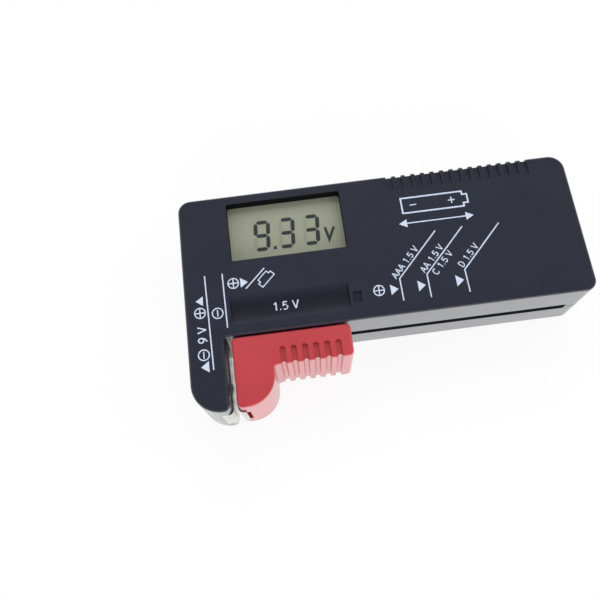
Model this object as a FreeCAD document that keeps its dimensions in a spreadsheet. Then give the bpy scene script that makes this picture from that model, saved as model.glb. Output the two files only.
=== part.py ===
import FreeCAD, Part
import math
import os
from types import SimpleNamespace

import Sketcher

# Battery tester: a case in two shells with a foot, a jaw that slides along the front, a display and contacts.
# Lengths are millimetres. While building, x runs from the case's left end, y from the front wall of its main
# block towards the back, and z up from the table. Each sub-part's Placement then moves the origin to the
# middle of the footprint, so that x and y are centred and the lowest face is at z = 0.

SIZES = (
    # name, size, what it is
    ("case_length", 110.0, "left end to right end"),
    ("case_depth", 41.0, "front wall of the main block to the back"),
    ("case_height", 24.0, "table to top face"),
    ("foot_reach", 19.8, "how far the foot stands in front of the main block"),
    ("foot_width", 9.7, "left end to the foot's contact side"),
    ("wall", 1.8, "wall of both shells"),
    ("parting_height", 11.0, "where the shells meet"),
    ("back_left_corner", 3.5, "corner radius"),
    ("back_right_corner", 4.3, "corner radius"),
    ("front_right_corner", 3.0, "corner radius"),
    ("foot_corner", 7.8, "radius of the foot's outer front corner"),
    ("foot_tip_corner", 1.7, "radius of the foot's inner front corner"),
    ("inner_corner", 0.8, "radius where the foot meets the front wall"),
    ("least_corner", 0.3, "smallest corner radius of a moulded inside"),
    ("least_side", 0.1, "shortest straight side between two rounded corners"),
    ("top_edge", 1.0, "rounding of the top outer edge"),
    ("bottom_edge", 1.2, "rounding of the bottom outer edge"),
    ("seam_chamfer", 0.18, "chamfer on each shell's rim, which shows as the parting line"),
    ("window_left", 13.6, "left end to the display window"),
    ("window_front", 20.9, "front wall to the display window"),
    ("window_length", 32.1, "along x"),
    ("window_width", 17.3, "along y"),
    ("window_corner", 0.7, "corner radius of the window"),
    ("window_depth", 3.0, "top face to the display's glass"),
    ("window_collar", 1.0, "wall of the collar below the window"),
    ("trough_left", 12.2, "left end to the cell trough"),
    ("trough_front", 2.85, "front wall to the trough"),
    ("trough_length", 32.1, "along x"),
    ("trough_radius", 9.0, "radius of the trough's floor"),
    ("trough_depth", 0.9, "depth at the trough's middle"),
    ("dimple_gap", 0.8, "trough to the small sunk square"),
    ("dimple_length", 2.4, "along x"),
    ("dimple_width", 3.0, "along y"),
    ("dimple_depth", 0.5, "depth of the sunk square"),
    ("grip_left", 59.4, "left end to the first grip groove"),
    ("grip_pitch", 2.75, "groove to groove"),
    ("grip_groove", 1.75, "width of a groove"),
    ("grip_count", 15, "number of grooves"),
    ("grip_reach", 4.6, "how far a groove runs onto the top face"),
    ("grip_start", 0.3, "depth of the groove at its inner end, from the top"),
    ("grip_drop", 0.8, "depth of the groove at the back edge, from the top"),
    ("grip_depth", 0.5, "depth of the groove in the back wall"),
    ("slot_height", 3.0, "height of the slot that the slide runs in"),
    ("slot_gap", 1.0, "foot to the slot's left end"),
    ("slot_margin", 5.1, "slot's right end to the case's right end"),
    ("boss_radius", 2.6, "screw boss"),
    ("screw_shank", 1.2, "radius of a case screw's shank"),
    ("screw_head", 2.0, "radius of a case screw's head"),
    ("screw_head_height", 1.5, "height of a case screw's head"),
    ("screw_seat", 5.0, "height of the head's seat above the table"),
    ("screw_length", 11.0, "under the head"),
    ("screw_margin", 6.0, "boss axis to the outer face beside it"),
    ("hole_clearance", 0.05, "radial clearance round a screw"),
    ("head_clearance", 0.3, "radial clearance round a screw's head"),
    ("cross_width", 0.7, "width of the cross recess in a screw's head"),
    ("cross_depth", 0.8, "depth of the cross recess"),
    ("jaw_gap", 1.8, "foot to the closed jaw's plastic face"),
    ("slide_length", 31.8, "slide along x"),
    ("slide_clearance", 0.3, "running clearance of the slide"),
    ("bar_depth", 8.8, "slide's bar along y"),
    ("jaw_width", 10.6, "jaw along x"),
    ("jaw_reach", 19.2, "front wall to the jaw's tip"),
    ("jaw_corner", 8.2, "radius of the jaw's outer corner"),
    ("slide_corner", 1.4, "radius of the slide's other corners"),
    ("slide_inner_corner", 0.9, "radius where the jaw meets the bar"),
    ("slide_edge", 0.6, "rounding of the slide's top edge"),
    ("slide_drop", 1.2, "case top to slide top"),
    ("slide_foot", 1.0, "table to slide bottom"),
    ("slide_wall", 1.8, "wall of the cored slide"),
    ("slide_roof", 2.2, "top wall of the cored slide"),
    ("thumb_first", 13.2, "slide's left face to the first thumb groove"),
    ("thumb_pitch", 2.96, "groove to groove"),
    ("thumb_radius", 0.8, "radius of a thumb groove, in the front wall and at its round end"),
    ("thumb_count", 6, "number of thumb grooves"),
    ("thumb_depth", 0.9, "depth of the groove in the top"),
    ("thumb_reach", 4.8, "how far the groove runs onto the top"),
    ("neck_inset", 2.7, "slide's left face to the neck"),
    ("neck_length", 25.8, "neck that runs in the slot"),
    ("flange_height", 9.0, "guide flange behind the front wall"),
    ("flange_thickness", 2.0, "guide flange"),
    ("peg_radius", 0.9, "spring peg and post"),
    ("strip_thickness", 0.4, "nickel strip of every contact"),
    ("strip_height", 14.0, "jaw and foot contact strips"),
    ("strip_back_gap", 1.2, "strips' back ends to the front wall"),
    ("strip_tab", 2.0, "front tab of the foot strip past its bend"),
    ("jaw_tab", 0.4, "front tab of the jaw strip past its bend"),
    ("strip_bend", 1.0, "inner radius of the foot strip's bend"),
    ("strip_sink", 0.45, "depth of the recess for the foot strip's tab"),
    ("strip_play", 0.05, "recess clearance round a strip"),
    ("dome_radius", 3.6, "radius of the jaw contact's dome"),
    ("dome_height", 0.7, "height of the dome"),
    ("dome_front", 11.5, "front wall to the dome"),
    ("tab_height", 2.4, "tabs that pass through the shells' joint"),
    ("nine_length", 9.0, "nine volt contact plates along y"),
    ("nine_height", 12.0, "nine volt contact plates along z"),
    ("nine_plus_front", 5.0, "front wall to the positive plate"),
    ("nine_minus_back", 1.0, "front wall to the negative plate"),
    ("nine_sink", 0.5, "depth of the plates' recess"),
    ("nine_tab_width", 3.0, "tab that passes through the end wall"),
    ("nine_tab_reach", 0.8, "tab past the wall"),
    ("rail_width", 2.0, "contact rail"),
    ("rail_gap", 0.5, "front wall to the rail"),
    ("rail_lift", 0.8, "floor to the rail"),
    ("rail_overhang", 1.2, "rail's left end past the slot"),
    ("rail_end_height", 3.4, "upturned end that takes the lead"),
    ("rail_count", 5, "ribs under the rail"),
    ("rib_width", 1.5, "rib under the rail"),
    ("wiper_thickness", 0.25, "spring leaf on the rail"),
    ("wiper_length", 10.5, "leaf along x"),
    ("wiper_clearance", 0.15, "leaf to rail"),
    ("rivet_radius", 0.6, "rivet shank"),
    ("rivet_head", 1.0, "rivet head radius"),
    ("spring_wire", 0.5, "wire diameter of the return spring"),
    ("spring_radius", 1.6, "mean radius of the return spring"),
    ("spring_turns", 24, "turns"),
    ("spring_gap", 0.35, "guide flange to the spring's turns"),
    ("spring_height", 10.6, "table to the spring's axis"),
    ("post_left", 4.6, "left end to the spring post"),
    ("post_radius", 2.0, "foot of the spring post"),
    ("lcd_margin", 2.0, "glass past the window, at both ends"),
    ("lcd_back_margin", 0.7, "glass past the window, at the back"),
    ("lcd_wall_gap", 0.2, "least gap from the glass to the back wall"),
    ("lcd_ledge", 2.8, "contact ledge of the front glass"),
    ("lcd_front", 0.8, "front glass"),
    ("lcd_rear", 0.8, "rear glass"),
    ("lcd_film", 0.2, "reflector film"),
    ("frame_height", 2.2, "display frame between film and board"),
    ("frame_wall", 0.7, "display frame past the glass"),
    ("zebra_width", 2.0, "rubber connector along y"),
    ("zebra_length", 30.0, "rubber connector along x"),
    ("zebra_play", 0.1, "frame's slot round the rubber connector"),
    ("board_thickness", 1.6, "circuit board"),
    ("board_left", 9.4, "left end to the board"),
    ("board_front", 11.2, "front wall to the board"),
    ("board_length", 58.6, "along x"),
    ("board_width", 27.4, "along y"),
    ("board_corner", 1.0, "corner radius"),
    ("board_post", 2.2, "radius of a post that carries the board"),
    ("board_screw", 0.9, "radius of a board screw's shank"),
    ("board_screw_head", 1.8, "radius of a board screw's head"),
    ("board_screw_length", 4.4, "under the head"),
    ("lead_radius", 0.6, "insulated lead"),
    ("lead_gap", 0.1, "lead to the wall beside it"),
)

X_AXIS = FreeCAD.Vector(1, 0, 0)
Z_AXIS = FreeCAD.Vector(0, 0, 1)
STRAIGHT = math.radians(2)


class Measure:
    """A length that holds its number and the formula that ties it to the sheet."""

    def __init__(self, number, formula):
        self.number = number
        self.formula = formula

    def joined(self, other, sign, number):
        return Measure(number, f"({self.formula} {sign} {measure(other).formula})")

    def __add__(self, other):
        return self.joined(other, "+", self.number + measure(other).number)

    def __sub__(self, other):
        return self.joined(other, "-", self.number - measure(other).number)

    def __mul__(self, other):
        return self.joined(other, "*", self.number * measure(other).number)

    def __truediv__(self, other):
        return self.joined(other, "/", self.number / measure(other).number)

    def __radd__(self, other):
        return measure(other) + self

    def __rsub__(self, other):
        return measure(other) - self

    def __rmul__(self, other):
        return measure(other) * self

    def __neg__(self):
        return measure(0) - self


def measure(thing):
    """Any number as a Measure."""
    if isinstance(thing, Measure):
        return thing
    return Measure(float(thing), f"({float(thing)})")


def least(first, second):
    """The smaller of two sizes."""
    first, second = measure(first), measure(second)
    return Measure(min(first.number, second.number), f"min({first.formula}; {second.formula})")


def most(first, second):
    """The larger of two sizes."""
    first, second = measure(first), measure(second)
    return Measure(max(first.number, second.number), f"max({first.formula}; {second.formula})")


def make_sheet(document):
    """The sheet of driving dimensions, and a Measure for each."""
    sheet = document.addObject("Spreadsheet::Sheet", "Sizes")
    for row, (name, size, meaning) in enumerate(SIZES, start=1):
        sheet.set(f"A{row}", meaning)
        sheet.set(f"B{row}", str(size))
        sheet.setAlias(f"B{row}", name)
    document.recompute()
    sizes = {name: Measure(float(sheet.get(name)), f"Sizes.{name}") for name, size, meaning in SIZES}
    return SimpleNamespace(**sizes)


doc = FreeCAD.newDocument("battery_tester")
dim = make_sheet(doc)

# Places that several sub-parts share
back_wall = dim.case_depth - dim.wall
ceiling = dim.case_height - dim.wall
slot_left = dim.foot_width + dim.slot_gap
slot_right = dim.case_length - dim.slot_margin
slot_bottom = dim.parting_height - dim.slot_height / 2
slot_top = dim.parting_height + dim.slot_height / 2
tab_bottom = dim.parting_height - dim.tab_height / 2
strip_bottom = dim.parting_height - dim.strip_height / 2
foot_front = -dim.foot_reach
sunk_front = foot_front + dim.strip_sink
foot_tab_left = dim.foot_width - dim.strip_bend - dim.strip_tab
leg_front = -dim.strip_back_gap - 2 * dim.strip_thickness
slide_left = dim.foot_width + dim.jaw_gap
slide_right = slide_left + dim.slide_length
slide_back = -dim.slide_clearance
slide_top = dim.case_height - dim.slide_drop
bar_front = slide_back - dim.bar_depth
jaw_right = slide_left + dim.jaw_width
jaw_front = -dim.jaw_reach
neck_left = slide_left + dim.neck_inset
neck_right = neck_left + dim.neck_length
neck_height = dim.slot_height - 2 * dim.slide_clearance
flange_front = dim.wall + dim.slide_clearance
flange_back = flange_front + dim.flange_thickness
spring_axis = flange_back + dim.spring_gap + dim.spring_radius + dim.spring_wire / 2
spring_reach = spring_axis + dim.spring_radius + dim.spring_wire / 2
rail_left = slot_left - dim.rail_overhang
rail_front = dim.wall + dim.rail_gap
rail_bottom = dim.wall + dim.rail_lift
rail_top = rail_bottom + dim.strip_thickness
jaw_strip_left = slide_left - dim.strip_thickness
window_right = dim.window_left + dim.window_length
window_back = dim.window_front + dim.window_width
lcd_left = dim.window_left - dim.lcd_margin
lcd_length = dim.window_length + 2 * dim.lcd_margin
lcd_back = least(window_back + dim.lcd_back_margin, back_wall - dim.lcd_wall_gap)
lcd_ledge_back = dim.window_front - dim.lcd_back_margin
lcd_top = dim.case_height - dim.window_depth
film_bottom = lcd_top - dim.lcd_front - dim.lcd_rear - dim.lcd_film
board_top = film_bottom - dim.frame_height
board_bottom = board_top - dim.board_thickness
board_right = dim.board_left + dim.board_length
board_middle = board_bottom + dim.board_thickness / 2
nine_minus_front = -dim.nine_minus_back - dim.nine_length
peg_left = neck_right - dim.peg_radius - 0.2
loop_height = dim.spring_height + dim.spring_radius
peg_top = loop_height + dim.spring_wire * 2
case_screw_places = (
    (dim.screw_margin, dim.case_depth - dim.screw_margin + 0.4),
    (dim.case_length - dim.screw_margin, dim.case_depth - dim.screw_margin),
    (dim.case_length - dim.screw_margin, dim.screw_margin * 2),
    (dim.foot_width / 2 + 0.15, foot_front + dim.screw_margin),
)
board_screw_places = (
    (dim.board_left + 10, dim.board_front + 2.6),
    (board_right - 3.5, dim.board_front + 3.3),
    (board_right - 3.5, dim.board_front + dim.board_width - 3.5),
)

nodes = []
cuts = []


def bind(thing, prop, size):
    """Tie a property to the sheet."""
    thing.setExpression(prop, measure(size).formula)


def keep(thing, node):
    """Name a finished sub-part and move it from the building axes to the middle of the footprint."""
    thing.Label = node
    bind(thing, "Placement.Base.x", -dim.case_length / 2)
    bind(thing, "Placement.Base.y", (dim.foot_reach - dim.case_depth) / 2)
    nodes.append(thing)
    return thing


# Sketches and features


def new_sketch(body, name, plane, offset=0, side_offset=0):
    """A sketch on one of the body's origin planes, moved along the plane's normal and along its own y."""
    sketch = body.newObject("Sketcher::SketchObject", name)
    support = next(item for item in body.Origin.OriginFeatures if item.Role == plane)
    sketch.AttachmentSupport = [(support, "")]
    sketch.MapMode = "FlatFace"
    bind(sketch, "AttachmentOffset.Base.z", offset)
    bind(sketch, "AttachmentOffset.Base.y", side_offset)
    return sketch


def fix(sketch, kind, size, *where):
    """A sketch dimension that is tied to the sheet."""
    size = measure(size)
    index = sketch.addConstraint(Sketcher.Constraint(kind, *where, size.number))
    sketch.setExpression(f"Constraints[{index}]", size.formula)


def rounded_outline(sketch, corners):
    """A closed outline of level and upright sides, from (x, y, radius) corners anticlockwise; 0 is sharp."""
    corners = [tuple(measure(size) for size in corner) for corner in corners]
    points = [FreeCAD.Vector(x.number, y.number, 0) for x, y, radius in corners]
    count = len(points)
    ways = [(points[(i + 1) % count] - points[i]).normalize() for i in range(count)]
    starts = [points[i] + ways[i] * corners[i][2].number for i in range(count)]
    ends = [points[(i + 1) % count] - ways[i] * corners[(i + 1) % count][2].number for i in range(count)]
    sides = [sketch.addGeometry(Part.LineSegment(starts[i], ends[i])) for i in range(count)]
    for i, side in enumerate(sides):
        upright = abs(ways[i].x) < 0.5
        sketch.addConstraint(Sketcher.Constraint("Vertical" if upright else "Horizontal", side))
        fix(sketch, "DistanceX" if upright else "DistanceY", corners[i][0 if upright else 1], side, 1)
    for i, side in enumerate(sides):
        before = sides[i - 1]
        radius = corners[i][2]
        if radius.number == 0:
            sketch.addConstraint(Sketcher.Constraint("Coincident", before, 2, side, 1))
            continue
        outward = ways[i - 1].cross(ways[i]).z > 0
        centre = points[i] + (ways[i] - ways[i - 1]) * radius.number
        first, last = (ends[i - 1], starts[i]) if outward else (starts[i], ends[i - 1])
        angles = [math.atan2(point.y - centre.y, point.x - centre.x) for point in (first, last)]
        if angles[1] < angles[0]:
            angles[1] += 2 * math.pi
        arc = sketch.addGeometry(Part.ArcOfCircle(Part.Circle(centre, Z_AXIS, radius.number), *angles))
        sketch.addConstraint(Sketcher.Constraint("Tangent", before, 2, arc, 1 if outward else 2))
        sketch.addConstraint(Sketcher.Constraint("Tangent", arc, 2 if outward else 1, side, 1))
        fix(sketch, "Radius", radius, arc)


def rectangle(sketch, left, front, right, back, corner=0):
    """A rectangle between two corners."""
    places = ((left, front), (right, front), (right, back), (left, back))
    rounded_outline(sketch, [(x, y, corner) for x, y in places])


def polygon(sketch, corners):
    """A closed outline of straight sides through (x, y) corners."""
    points = [FreeCAD.Vector(measure(x).number, measure(y).number, 0) for x, y in corners]
    sides = [sketch.addGeometry(Part.LineSegment(a, b)) for a, b in zip(points, points[1:] + points[:1])]
    for side, (x, y) in zip(sides, corners):
        fix(sketch, "DistanceX", x, side, 1)
        fix(sketch, "DistanceY", y, side, 1)
    for before, side in zip(sides[-1:] + sides[:-1], sides):
        sketch.addConstraint(Sketcher.Constraint("Coincident", before, 2, side, 1))


def circle(sketch, x, y, radius):
    """A full circle."""
    centre = FreeCAD.Vector(measure(x).number, measure(y).number, 0)
    ring = sketch.addGeometry(Part.Circle(centre, Z_AXIS, measure(radius).number))
    fix(sketch, "DistanceX", x, ring, 3)
    fix(sketch, "DistanceY", y, ring, 3)
    fix(sketch, "Radius", radius, ring)


def pad(body, sketch, length, backwards=False):
    """Add material along the sketch's normal, or against it."""
    feature = body.newObject("PartDesign::Pad", f"{sketch.Name}_pad")
    feature.Profile = sketch
    feature.Reversed = backwards
    bind(feature, "Length", length)
    return feature


def pocket(body, sketch, length, along=True):
    """Cut along the sketch's normal, or against it."""
    feature = body.newObject("PartDesign::Pocket", f"{sketch.Name}_cut")
    feature.Profile = sketch
    feature.Reversed = along
    bind(feature, "Length", length)
    cuts.append(feature)
    return feature


def pattern_along_x(body, features, pitch, count):
    """Repeat features along x."""
    repeat = body.newObject("PartDesign::LinearPattern", f"{features[0].Name}_row")
    repeat.Originals = features
    axis = next(item for item in body.Origin.OriginFeatures if item.Role == "X_Axis")
    repeat.Direction = (axis, [""])
    bind(repeat, "Length", pitch * (count - 1))
    bind(repeat, "Occurrences", count)
    body.Tip = repeat
    return repeat


def ease_edges(body, kind, size, chosen):
    """Fillet or chamfer the edges of the body that the test picks."""
    doc.recompute()
    base = body.Tip
    names = [f"Edge{i}" for i, edge in enumerate(base.Shape.Edges, start=1) if chosen(edge)]
    feature = body.newObject(f"PartDesign::{kind}", f"{base.Name}_{kind.lower()}")
    feature.Base = (base, names)
    bind(feature, "Radius" if kind == "Fillet" else "Size", size)
    body.Tip = feature
    return feature


def at_height(height):
    """A test for edges that lie at one height."""
    level = measure(height).number
    return lambda edge: all(abs(vertex.Z - level) < 1e-4 for vertex in edge.Vertexes)


def new_body(name):
    """An empty solid body."""
    return doc.addObject("PartDesign::Body", f"{name}_body")


def box(name, low, size):
    """A block from its lowest corner and its size."""
    block = doc.addObject("Part::Box", name)
    for prop, length in zip(("Length", "Width", "Height"), size):
        bind(block, prop, length)
    for axis, place in zip("xyz", low):
        bind(block, f"Placement.Base.{axis}", place)
    return block


def cylinder(name, base, radius, height, along=Z_AXIS):
    """A cylinder from the middle of its base."""
    rod = doc.addObject("Part::Cylinder", name)
    bind(rod, "Radius", radius)
    bind(rod, "Height", height)
    rod.Placement = FreeCAD.Placement(FreeCAD.Vector(), FreeCAD.Rotation(Z_AXIS, along))
    for axis, place in zip("xyz", base):
        bind(rod, f"Placement.Base.{axis}", place)
    return rod


def fuse(name, shapes):
    """Several solids as one."""
    joined = doc.addObject("Part::MultiFuse", name)
    joined.Shapes = shapes
    return joined


def cut(name, base, tool):
    """One solid less another."""
    rest = doc.addObject("Part::Cut", name)
    rest.Base = base
    rest.Tool = tool
    return rest


def group(name, shapes):
    """Separate solids in one sub-part."""
    bunch = doc.addObject("Part::Compound", name)
    bunch.Links = shapes
    return bunch


# Case shells


def case_outline(sketch, inset):
    """The plan of the case: main block with the foot at its left front, drawn inset from the outer face."""
    inset = measure(inset)
    foot_right = dim.foot_width - inset
    right = dim.case_length - inset
    back = dim.case_depth - inset
    tip = most(dim.foot_tip_corner - inset, dim.least_corner)
    widest = foot_right - inset - tip - dim.least_side
    rounded_outline(sketch, [
        (inset, foot_front + inset, least(dim.foot_corner - inset, widest)),
        (foot_right, foot_front + inset, tip),
        (foot_right, inset, dim.inner_corner + inset),
        (right, inset, most(dim.front_right_corner - inset, dim.least_corner)),
        (right, back, most(dim.back_right_corner - inset, dim.least_corner)),
        (inset, back, most(dim.back_left_corner - inset, dim.least_corner)),
    ])


def shell_openings(body, upper):
    """Cut what passes through the walls at the shells' joint, upwards in the upper shell or downwards."""
    joint = dim.parting_height
    play = dim.strip_play
    slot = new_sketch(body, f"{body.Name}_slot", "XY_Plane", joint)
    rectangle(slot, slot_left, -1, slot_right, dim.wall + 1)
    pocket(body, slot, dim.slot_height / 2, upper)

    tabs = new_sketch(body, f"{body.Name}_tabs", "XY_Plane", joint)
    half = dim.nine_tab_width / 2 + play
    for front in (dim.nine_plus_front, nine_minus_front):
        middle = front + dim.nine_length / 2
        rectangle(tabs, -1, middle - half, dim.wall + 1, middle + half)
    leg_back = leg_front + dim.strip_thickness
    rectangle(tabs, dim.foot_width - dim.wall - 1, leg_front - play, dim.foot_width + 1, leg_back + play)
    pocket(body, tabs, dim.tab_height / 2 + play, upper)

    plates = new_sketch(body, f"{body.Name}_plates", "XY_Plane", joint)
    for front in (dim.nine_plus_front, nine_minus_front):
        rectangle(plates, -1, front - play, dim.nine_sink, front + dim.nine_length + play)
    pocket(body, plates, dim.nine_height / 2 + play, upper)

    wrap = new_sketch(body, f"{body.Name}_wrap", "XY_Plane", joint)
    rounded_outline(wrap, [
        (foot_tab_left - play, foot_front - 1, 0),
        (dim.foot_width + 1, foot_front - 1, 0),
        (dim.foot_width + 1, sunk_front + dim.strip_bend + play, 0),
        (dim.foot_width, sunk_front + dim.strip_bend + play, 0),
        (dim.foot_width, sunk_front, dim.strip_bend),
        (foot_tab_left - play, sunk_front, 0),
    ])
    pocket(body, wrap, dim.strip_height / 2 + play, upper)


def top_case():
    """Upper shell: window with its collar, cell trough, grip, screw bosses and board posts."""
    body = new_body("top_case")
    outer = new_sketch(body, "top_outer", "XY_Plane", dim.parting_height)
    case_outline(outer, 0)
    pad(body, outer, dim.case_height - dim.parting_height)
    ease_edges(body, "Fillet", dim.top_edge, at_height(dim.case_height))
    ease_edges(body, "Chamfer", dim.seam_chamfer, at_height(dim.parting_height))
    inner = new_sketch(body, "top_inner", "XY_Plane", dim.parting_height)
    case_outline(inner, dim.wall)
    pocket(body, inner, ceiling - dim.parting_height)

    collar = new_sketch(body, "window_collar", "XY_Plane", lcd_top)
    rim = dim.window_collar
    collar_back = back_wall + dim.wall / 2
    rectangle(collar, dim.window_left - rim, dim.window_front - rim, window_right + rim, collar_back)
    pad(body, collar, ceiling + dim.wall / 2 - lcd_top)
    bosses = new_sketch(body, "top_bosses", "XY_Plane", dim.parting_height)
    for x, y in case_screw_places:
        circle(bosses, x, y, dim.boss_radius)
    pad(body, bosses, ceiling + dim.wall / 2 - dim.parting_height)
    posts = new_sketch(body, "board_posts", "XY_Plane", board_top)
    for x, y in board_screw_places:
        circle(posts, x, y, dim.board_post)
    pad(body, posts, ceiling + dim.wall / 2 - board_top)

    window = new_sketch(body, "window", "XY_Plane", lcd_top)
    rectangle(window, dim.window_left, dim.window_front, window_right, window_back, dim.window_corner)
    pocket(body, window, dim.window_depth + 1)
    bores = new_sketch(body, "top_bores", "XY_Plane", dim.parting_height)
    for x, y in case_screw_places:
        circle(bores, x, y, dim.screw_shank + dim.hole_clearance)
    pocket(body, bores, dim.screw_seat + dim.screw_length + 0.5 - dim.parting_height)
    pilots = new_sketch(body, "post_bores", "XY_Plane", board_top)
    for x, y in board_screw_places:
        circle(pilots, x, y, dim.board_screw + dim.hole_clearance)
    pocket(body, pilots, dim.board_screw_length - dim.board_thickness + 0.3)

    trough = new_sketch(body, "trough", "YZ_Plane", dim.trough_left)
    half_chord = (dim.trough_radius.number ** 2 - (dim.trough_radius - dim.trough_depth).number ** 2) ** 0.5
    trough_middle = dim.trough_front + half_chord
    circle(trough, trough_middle, dim.case_height + dim.trough_radius - dim.trough_depth, dim.trough_radius)
    pocket(body, trough, dim.trough_length)
    dimple = new_sketch(body, "dimple", "XY_Plane", dim.case_height - dim.dimple_depth)
    dimple_left = dim.trough_left + dim.trough_length + dim.dimple_gap
    dimple_front = trough_middle - dim.dimple_width / 2 - 0.5
    dimple_right = dimple_left + dim.dimple_length
    rectangle(dimple, dimple_left, dimple_front, dimple_right, dimple_front + dim.dimple_width)
    pocket(body, dimple, dim.dimple_depth + 1)

    groove = new_sketch(body, "grip_groove", "YZ_Plane", dim.grip_left)
    floor = dim.case_depth - dim.grip_depth
    polygon(groove, [
        (dim.case_depth - dim.grip_reach, dim.case_height - dim.grip_start),
        (floor, dim.case_height - dim.grip_drop),
        (floor, dim.parting_height + 1),
        (dim.case_depth + 1, dim.parting_height + 1),
        (dim.case_depth + 1, dim.case_height + 1),
        (dim.case_depth - dim.grip_reach, dim.case_height + 1),
    ])
    first = pocket(body, groove, dim.grip_groove)
    pattern_along_x(body, [first], dim.grip_pitch, dim.grip_count)
    shell_openings(body, upper=True)
    return keep(body, "top_case")


def bottom_case():
    """Lower shell: screw bosses with sunk heads, ribs under the contact rail and the spring's post."""
    body = new_body("bottom_case")
    outer = new_sketch(body, "bottom_outer", "XY_Plane")
    case_outline(outer, 0)
    pad(body, outer, dim.parting_height)
    ease_edges(body, "Fillet", dim.bottom_edge, at_height(0))
    ease_edges(body, "Chamfer", dim.seam_chamfer, at_height(dim.parting_height))
    inner = new_sketch(body, "bottom_inner", "XY_Plane", dim.wall)
    case_outline(inner, dim.wall)
    pocket(body, inner, dim.parting_height)

    bosses = new_sketch(body, "bottom_bosses", "XY_Plane", dim.wall / 2)
    for x, y in case_screw_places:
        circle(bosses, x, y, dim.boss_radius + 0.6)
    pad(body, bosses, dim.parting_height - dim.wall / 2)
    bores = new_sketch(body, "bottom_bores", "XY_Plane")
    for x, y in case_screw_places:
        circle(bores, x, y, dim.screw_shank + dim.hole_clearance)
    pocket(body, bores, dim.parting_height)
    sinks = new_sketch(body, "head_sinks", "XY_Plane")
    for x, y in case_screw_places:
        circle(sinks, x, y, dim.screw_head + dim.head_clearance)
    pocket(body, sinks, dim.screw_seat)

    ribs = new_sketch(body, "rail_ribs", "XY_Plane", dim.wall / 2)
    rib_pitch = (slot_right - slot_left - 10) / (dim.rail_count - 1)
    rib_left = slot_left + 4
    rib_front = rail_front - 0.2
    rectangle(ribs, rib_left, rib_front, rib_left + dim.rib_width, rib_front + dim.rail_width + 0.4)
    rib = pad(body, ribs, rail_bottom - dim.wall / 2)
    pattern_along_x(body, [rib], rib_pitch, dim.rail_count)
    post = new_sketch(body, "spring_post", "XY_Plane", dim.wall / 2)
    circle(post, dim.post_left, spring_axis, dim.post_radius)
    pad(body, post, dim.spring_height - dim.spring_radius - dim.spring_wire - dim.wall / 2)
    pin = new_sketch(body, "spring_pin", "XY_Plane", dim.wall)
    circle(pin, dim.post_left, spring_axis, dim.peg_radius)
    pad(body, pin, peg_top - dim.wall)
    shell_openings(body, upper=False)
    return keep(body, "bottom_case")


def cross_head_screw(name, x, y, seat, head, head_height, shank, length):
    """A screw that points up, with a cross recess in its head."""
    low = seat - head_height
    solid = fuse(f"{name}_solid", [
        cylinder(f"{name}_head", (x, y, low), head, head_height),
        cylinder(f"{name}_shank", (x, y, low), shank, head_height + length),
    ])
    reach = head * 0.62
    arm = dim.cross_width / 2
    cross = fuse(f"{name}_cross", [
        box(f"{name}_cross_x", (x - reach, y - arm, low - 1), (reach * 2, arm * 2, dim.cross_depth + 1)),
        box(f"{name}_cross_y", (x - arm, y - reach, low - 1), (arm * 2, reach * 2, dim.cross_depth + 1)),
    ])
    return cut(name, solid, cross)


def case_screws():
    """Four screws that hold the shells together from below."""
    screws = [
        cross_head_screw(f"case_screw_{i}", x, y, dim.screw_seat, dim.screw_head, dim.screw_head_height,
                         dim.screw_shank, dim.screw_length)
        for i, (x, y) in enumerate(case_screw_places)
    ]
    return keep(group("case_screw_set", screws), "case_screws")


# Contacts


def foot_contact():
    """Nickel strip on the foot's inner side: wraps round its tip, with a leg through the wall at the back."""
    body = new_body("foot_contact")
    plan = new_sketch(body, "foot_strip", "XY_Plane", strip_bottom)
    outside = dim.foot_width + dim.strip_thickness
    front = sunk_front - dim.strip_thickness
    rounded_outline(plan, [
        (foot_tab_left, front, 0),
        (outside, front, dim.strip_bend + dim.strip_thickness),
        (outside, -dim.strip_back_gap, 0),
        (dim.foot_width, -dim.strip_back_gap, 0),
        (dim.foot_width, sunk_front, dim.strip_bend),
        (foot_tab_left, sunk_front, 0),
    ])
    pad(body, plan, dim.strip_height)
    leg = new_sketch(body, "foot_leg", "XY_Plane", tab_bottom)
    leg_left = dim.foot_width - dim.wall - dim.nine_tab_reach - 2 * dim.lead_radius
    leg_right = dim.foot_width + dim.strip_thickness / 2
    rectangle(leg, leg_left, leg_front, leg_right, leg_front + dim.strip_thickness)
    pad(body, leg, dim.tab_height)
    return keep(body, "foot_contact")


def nine_volt_contact(node, front):
    """A flush nickel plate in the left end wall, with a tab to the inside where the shells meet."""
    outer = dim.nine_sink - dim.strip_thickness
    low = dim.parting_height - dim.nine_height / 2
    plate = box(f"{node}_plate", (outer, front, low), (dim.strip_thickness, dim.nine_length, dim.nine_height))
    middle = front + dim.nine_length / 2
    tab = box(f"{node}_tab", (outer, middle - dim.nine_tab_width / 2, tab_bottom),
              (dim.wall + dim.nine_tab_reach - outer, dim.nine_tab_width, dim.tab_height))
    return keep(fuse(f"{node}_solid", [plate, tab]), node)


def contact_rail():
    """Strip on the floor ribs that the slide's wiper runs along, with an upturned end for its lead."""
    length = slot_right - rail_left - 1
    corner = (rail_left, rail_front, rail_bottom)
    strip = box("rail_strip", corner, (length, dim.rail_width, dim.strip_thickness))
    end = box("rail_end", corner, (dim.strip_thickness, dim.rail_width, dim.rail_end_height))
    return keep(fuse("rail_solid", [strip, end]), "contact_rail")


# Slide


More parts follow.
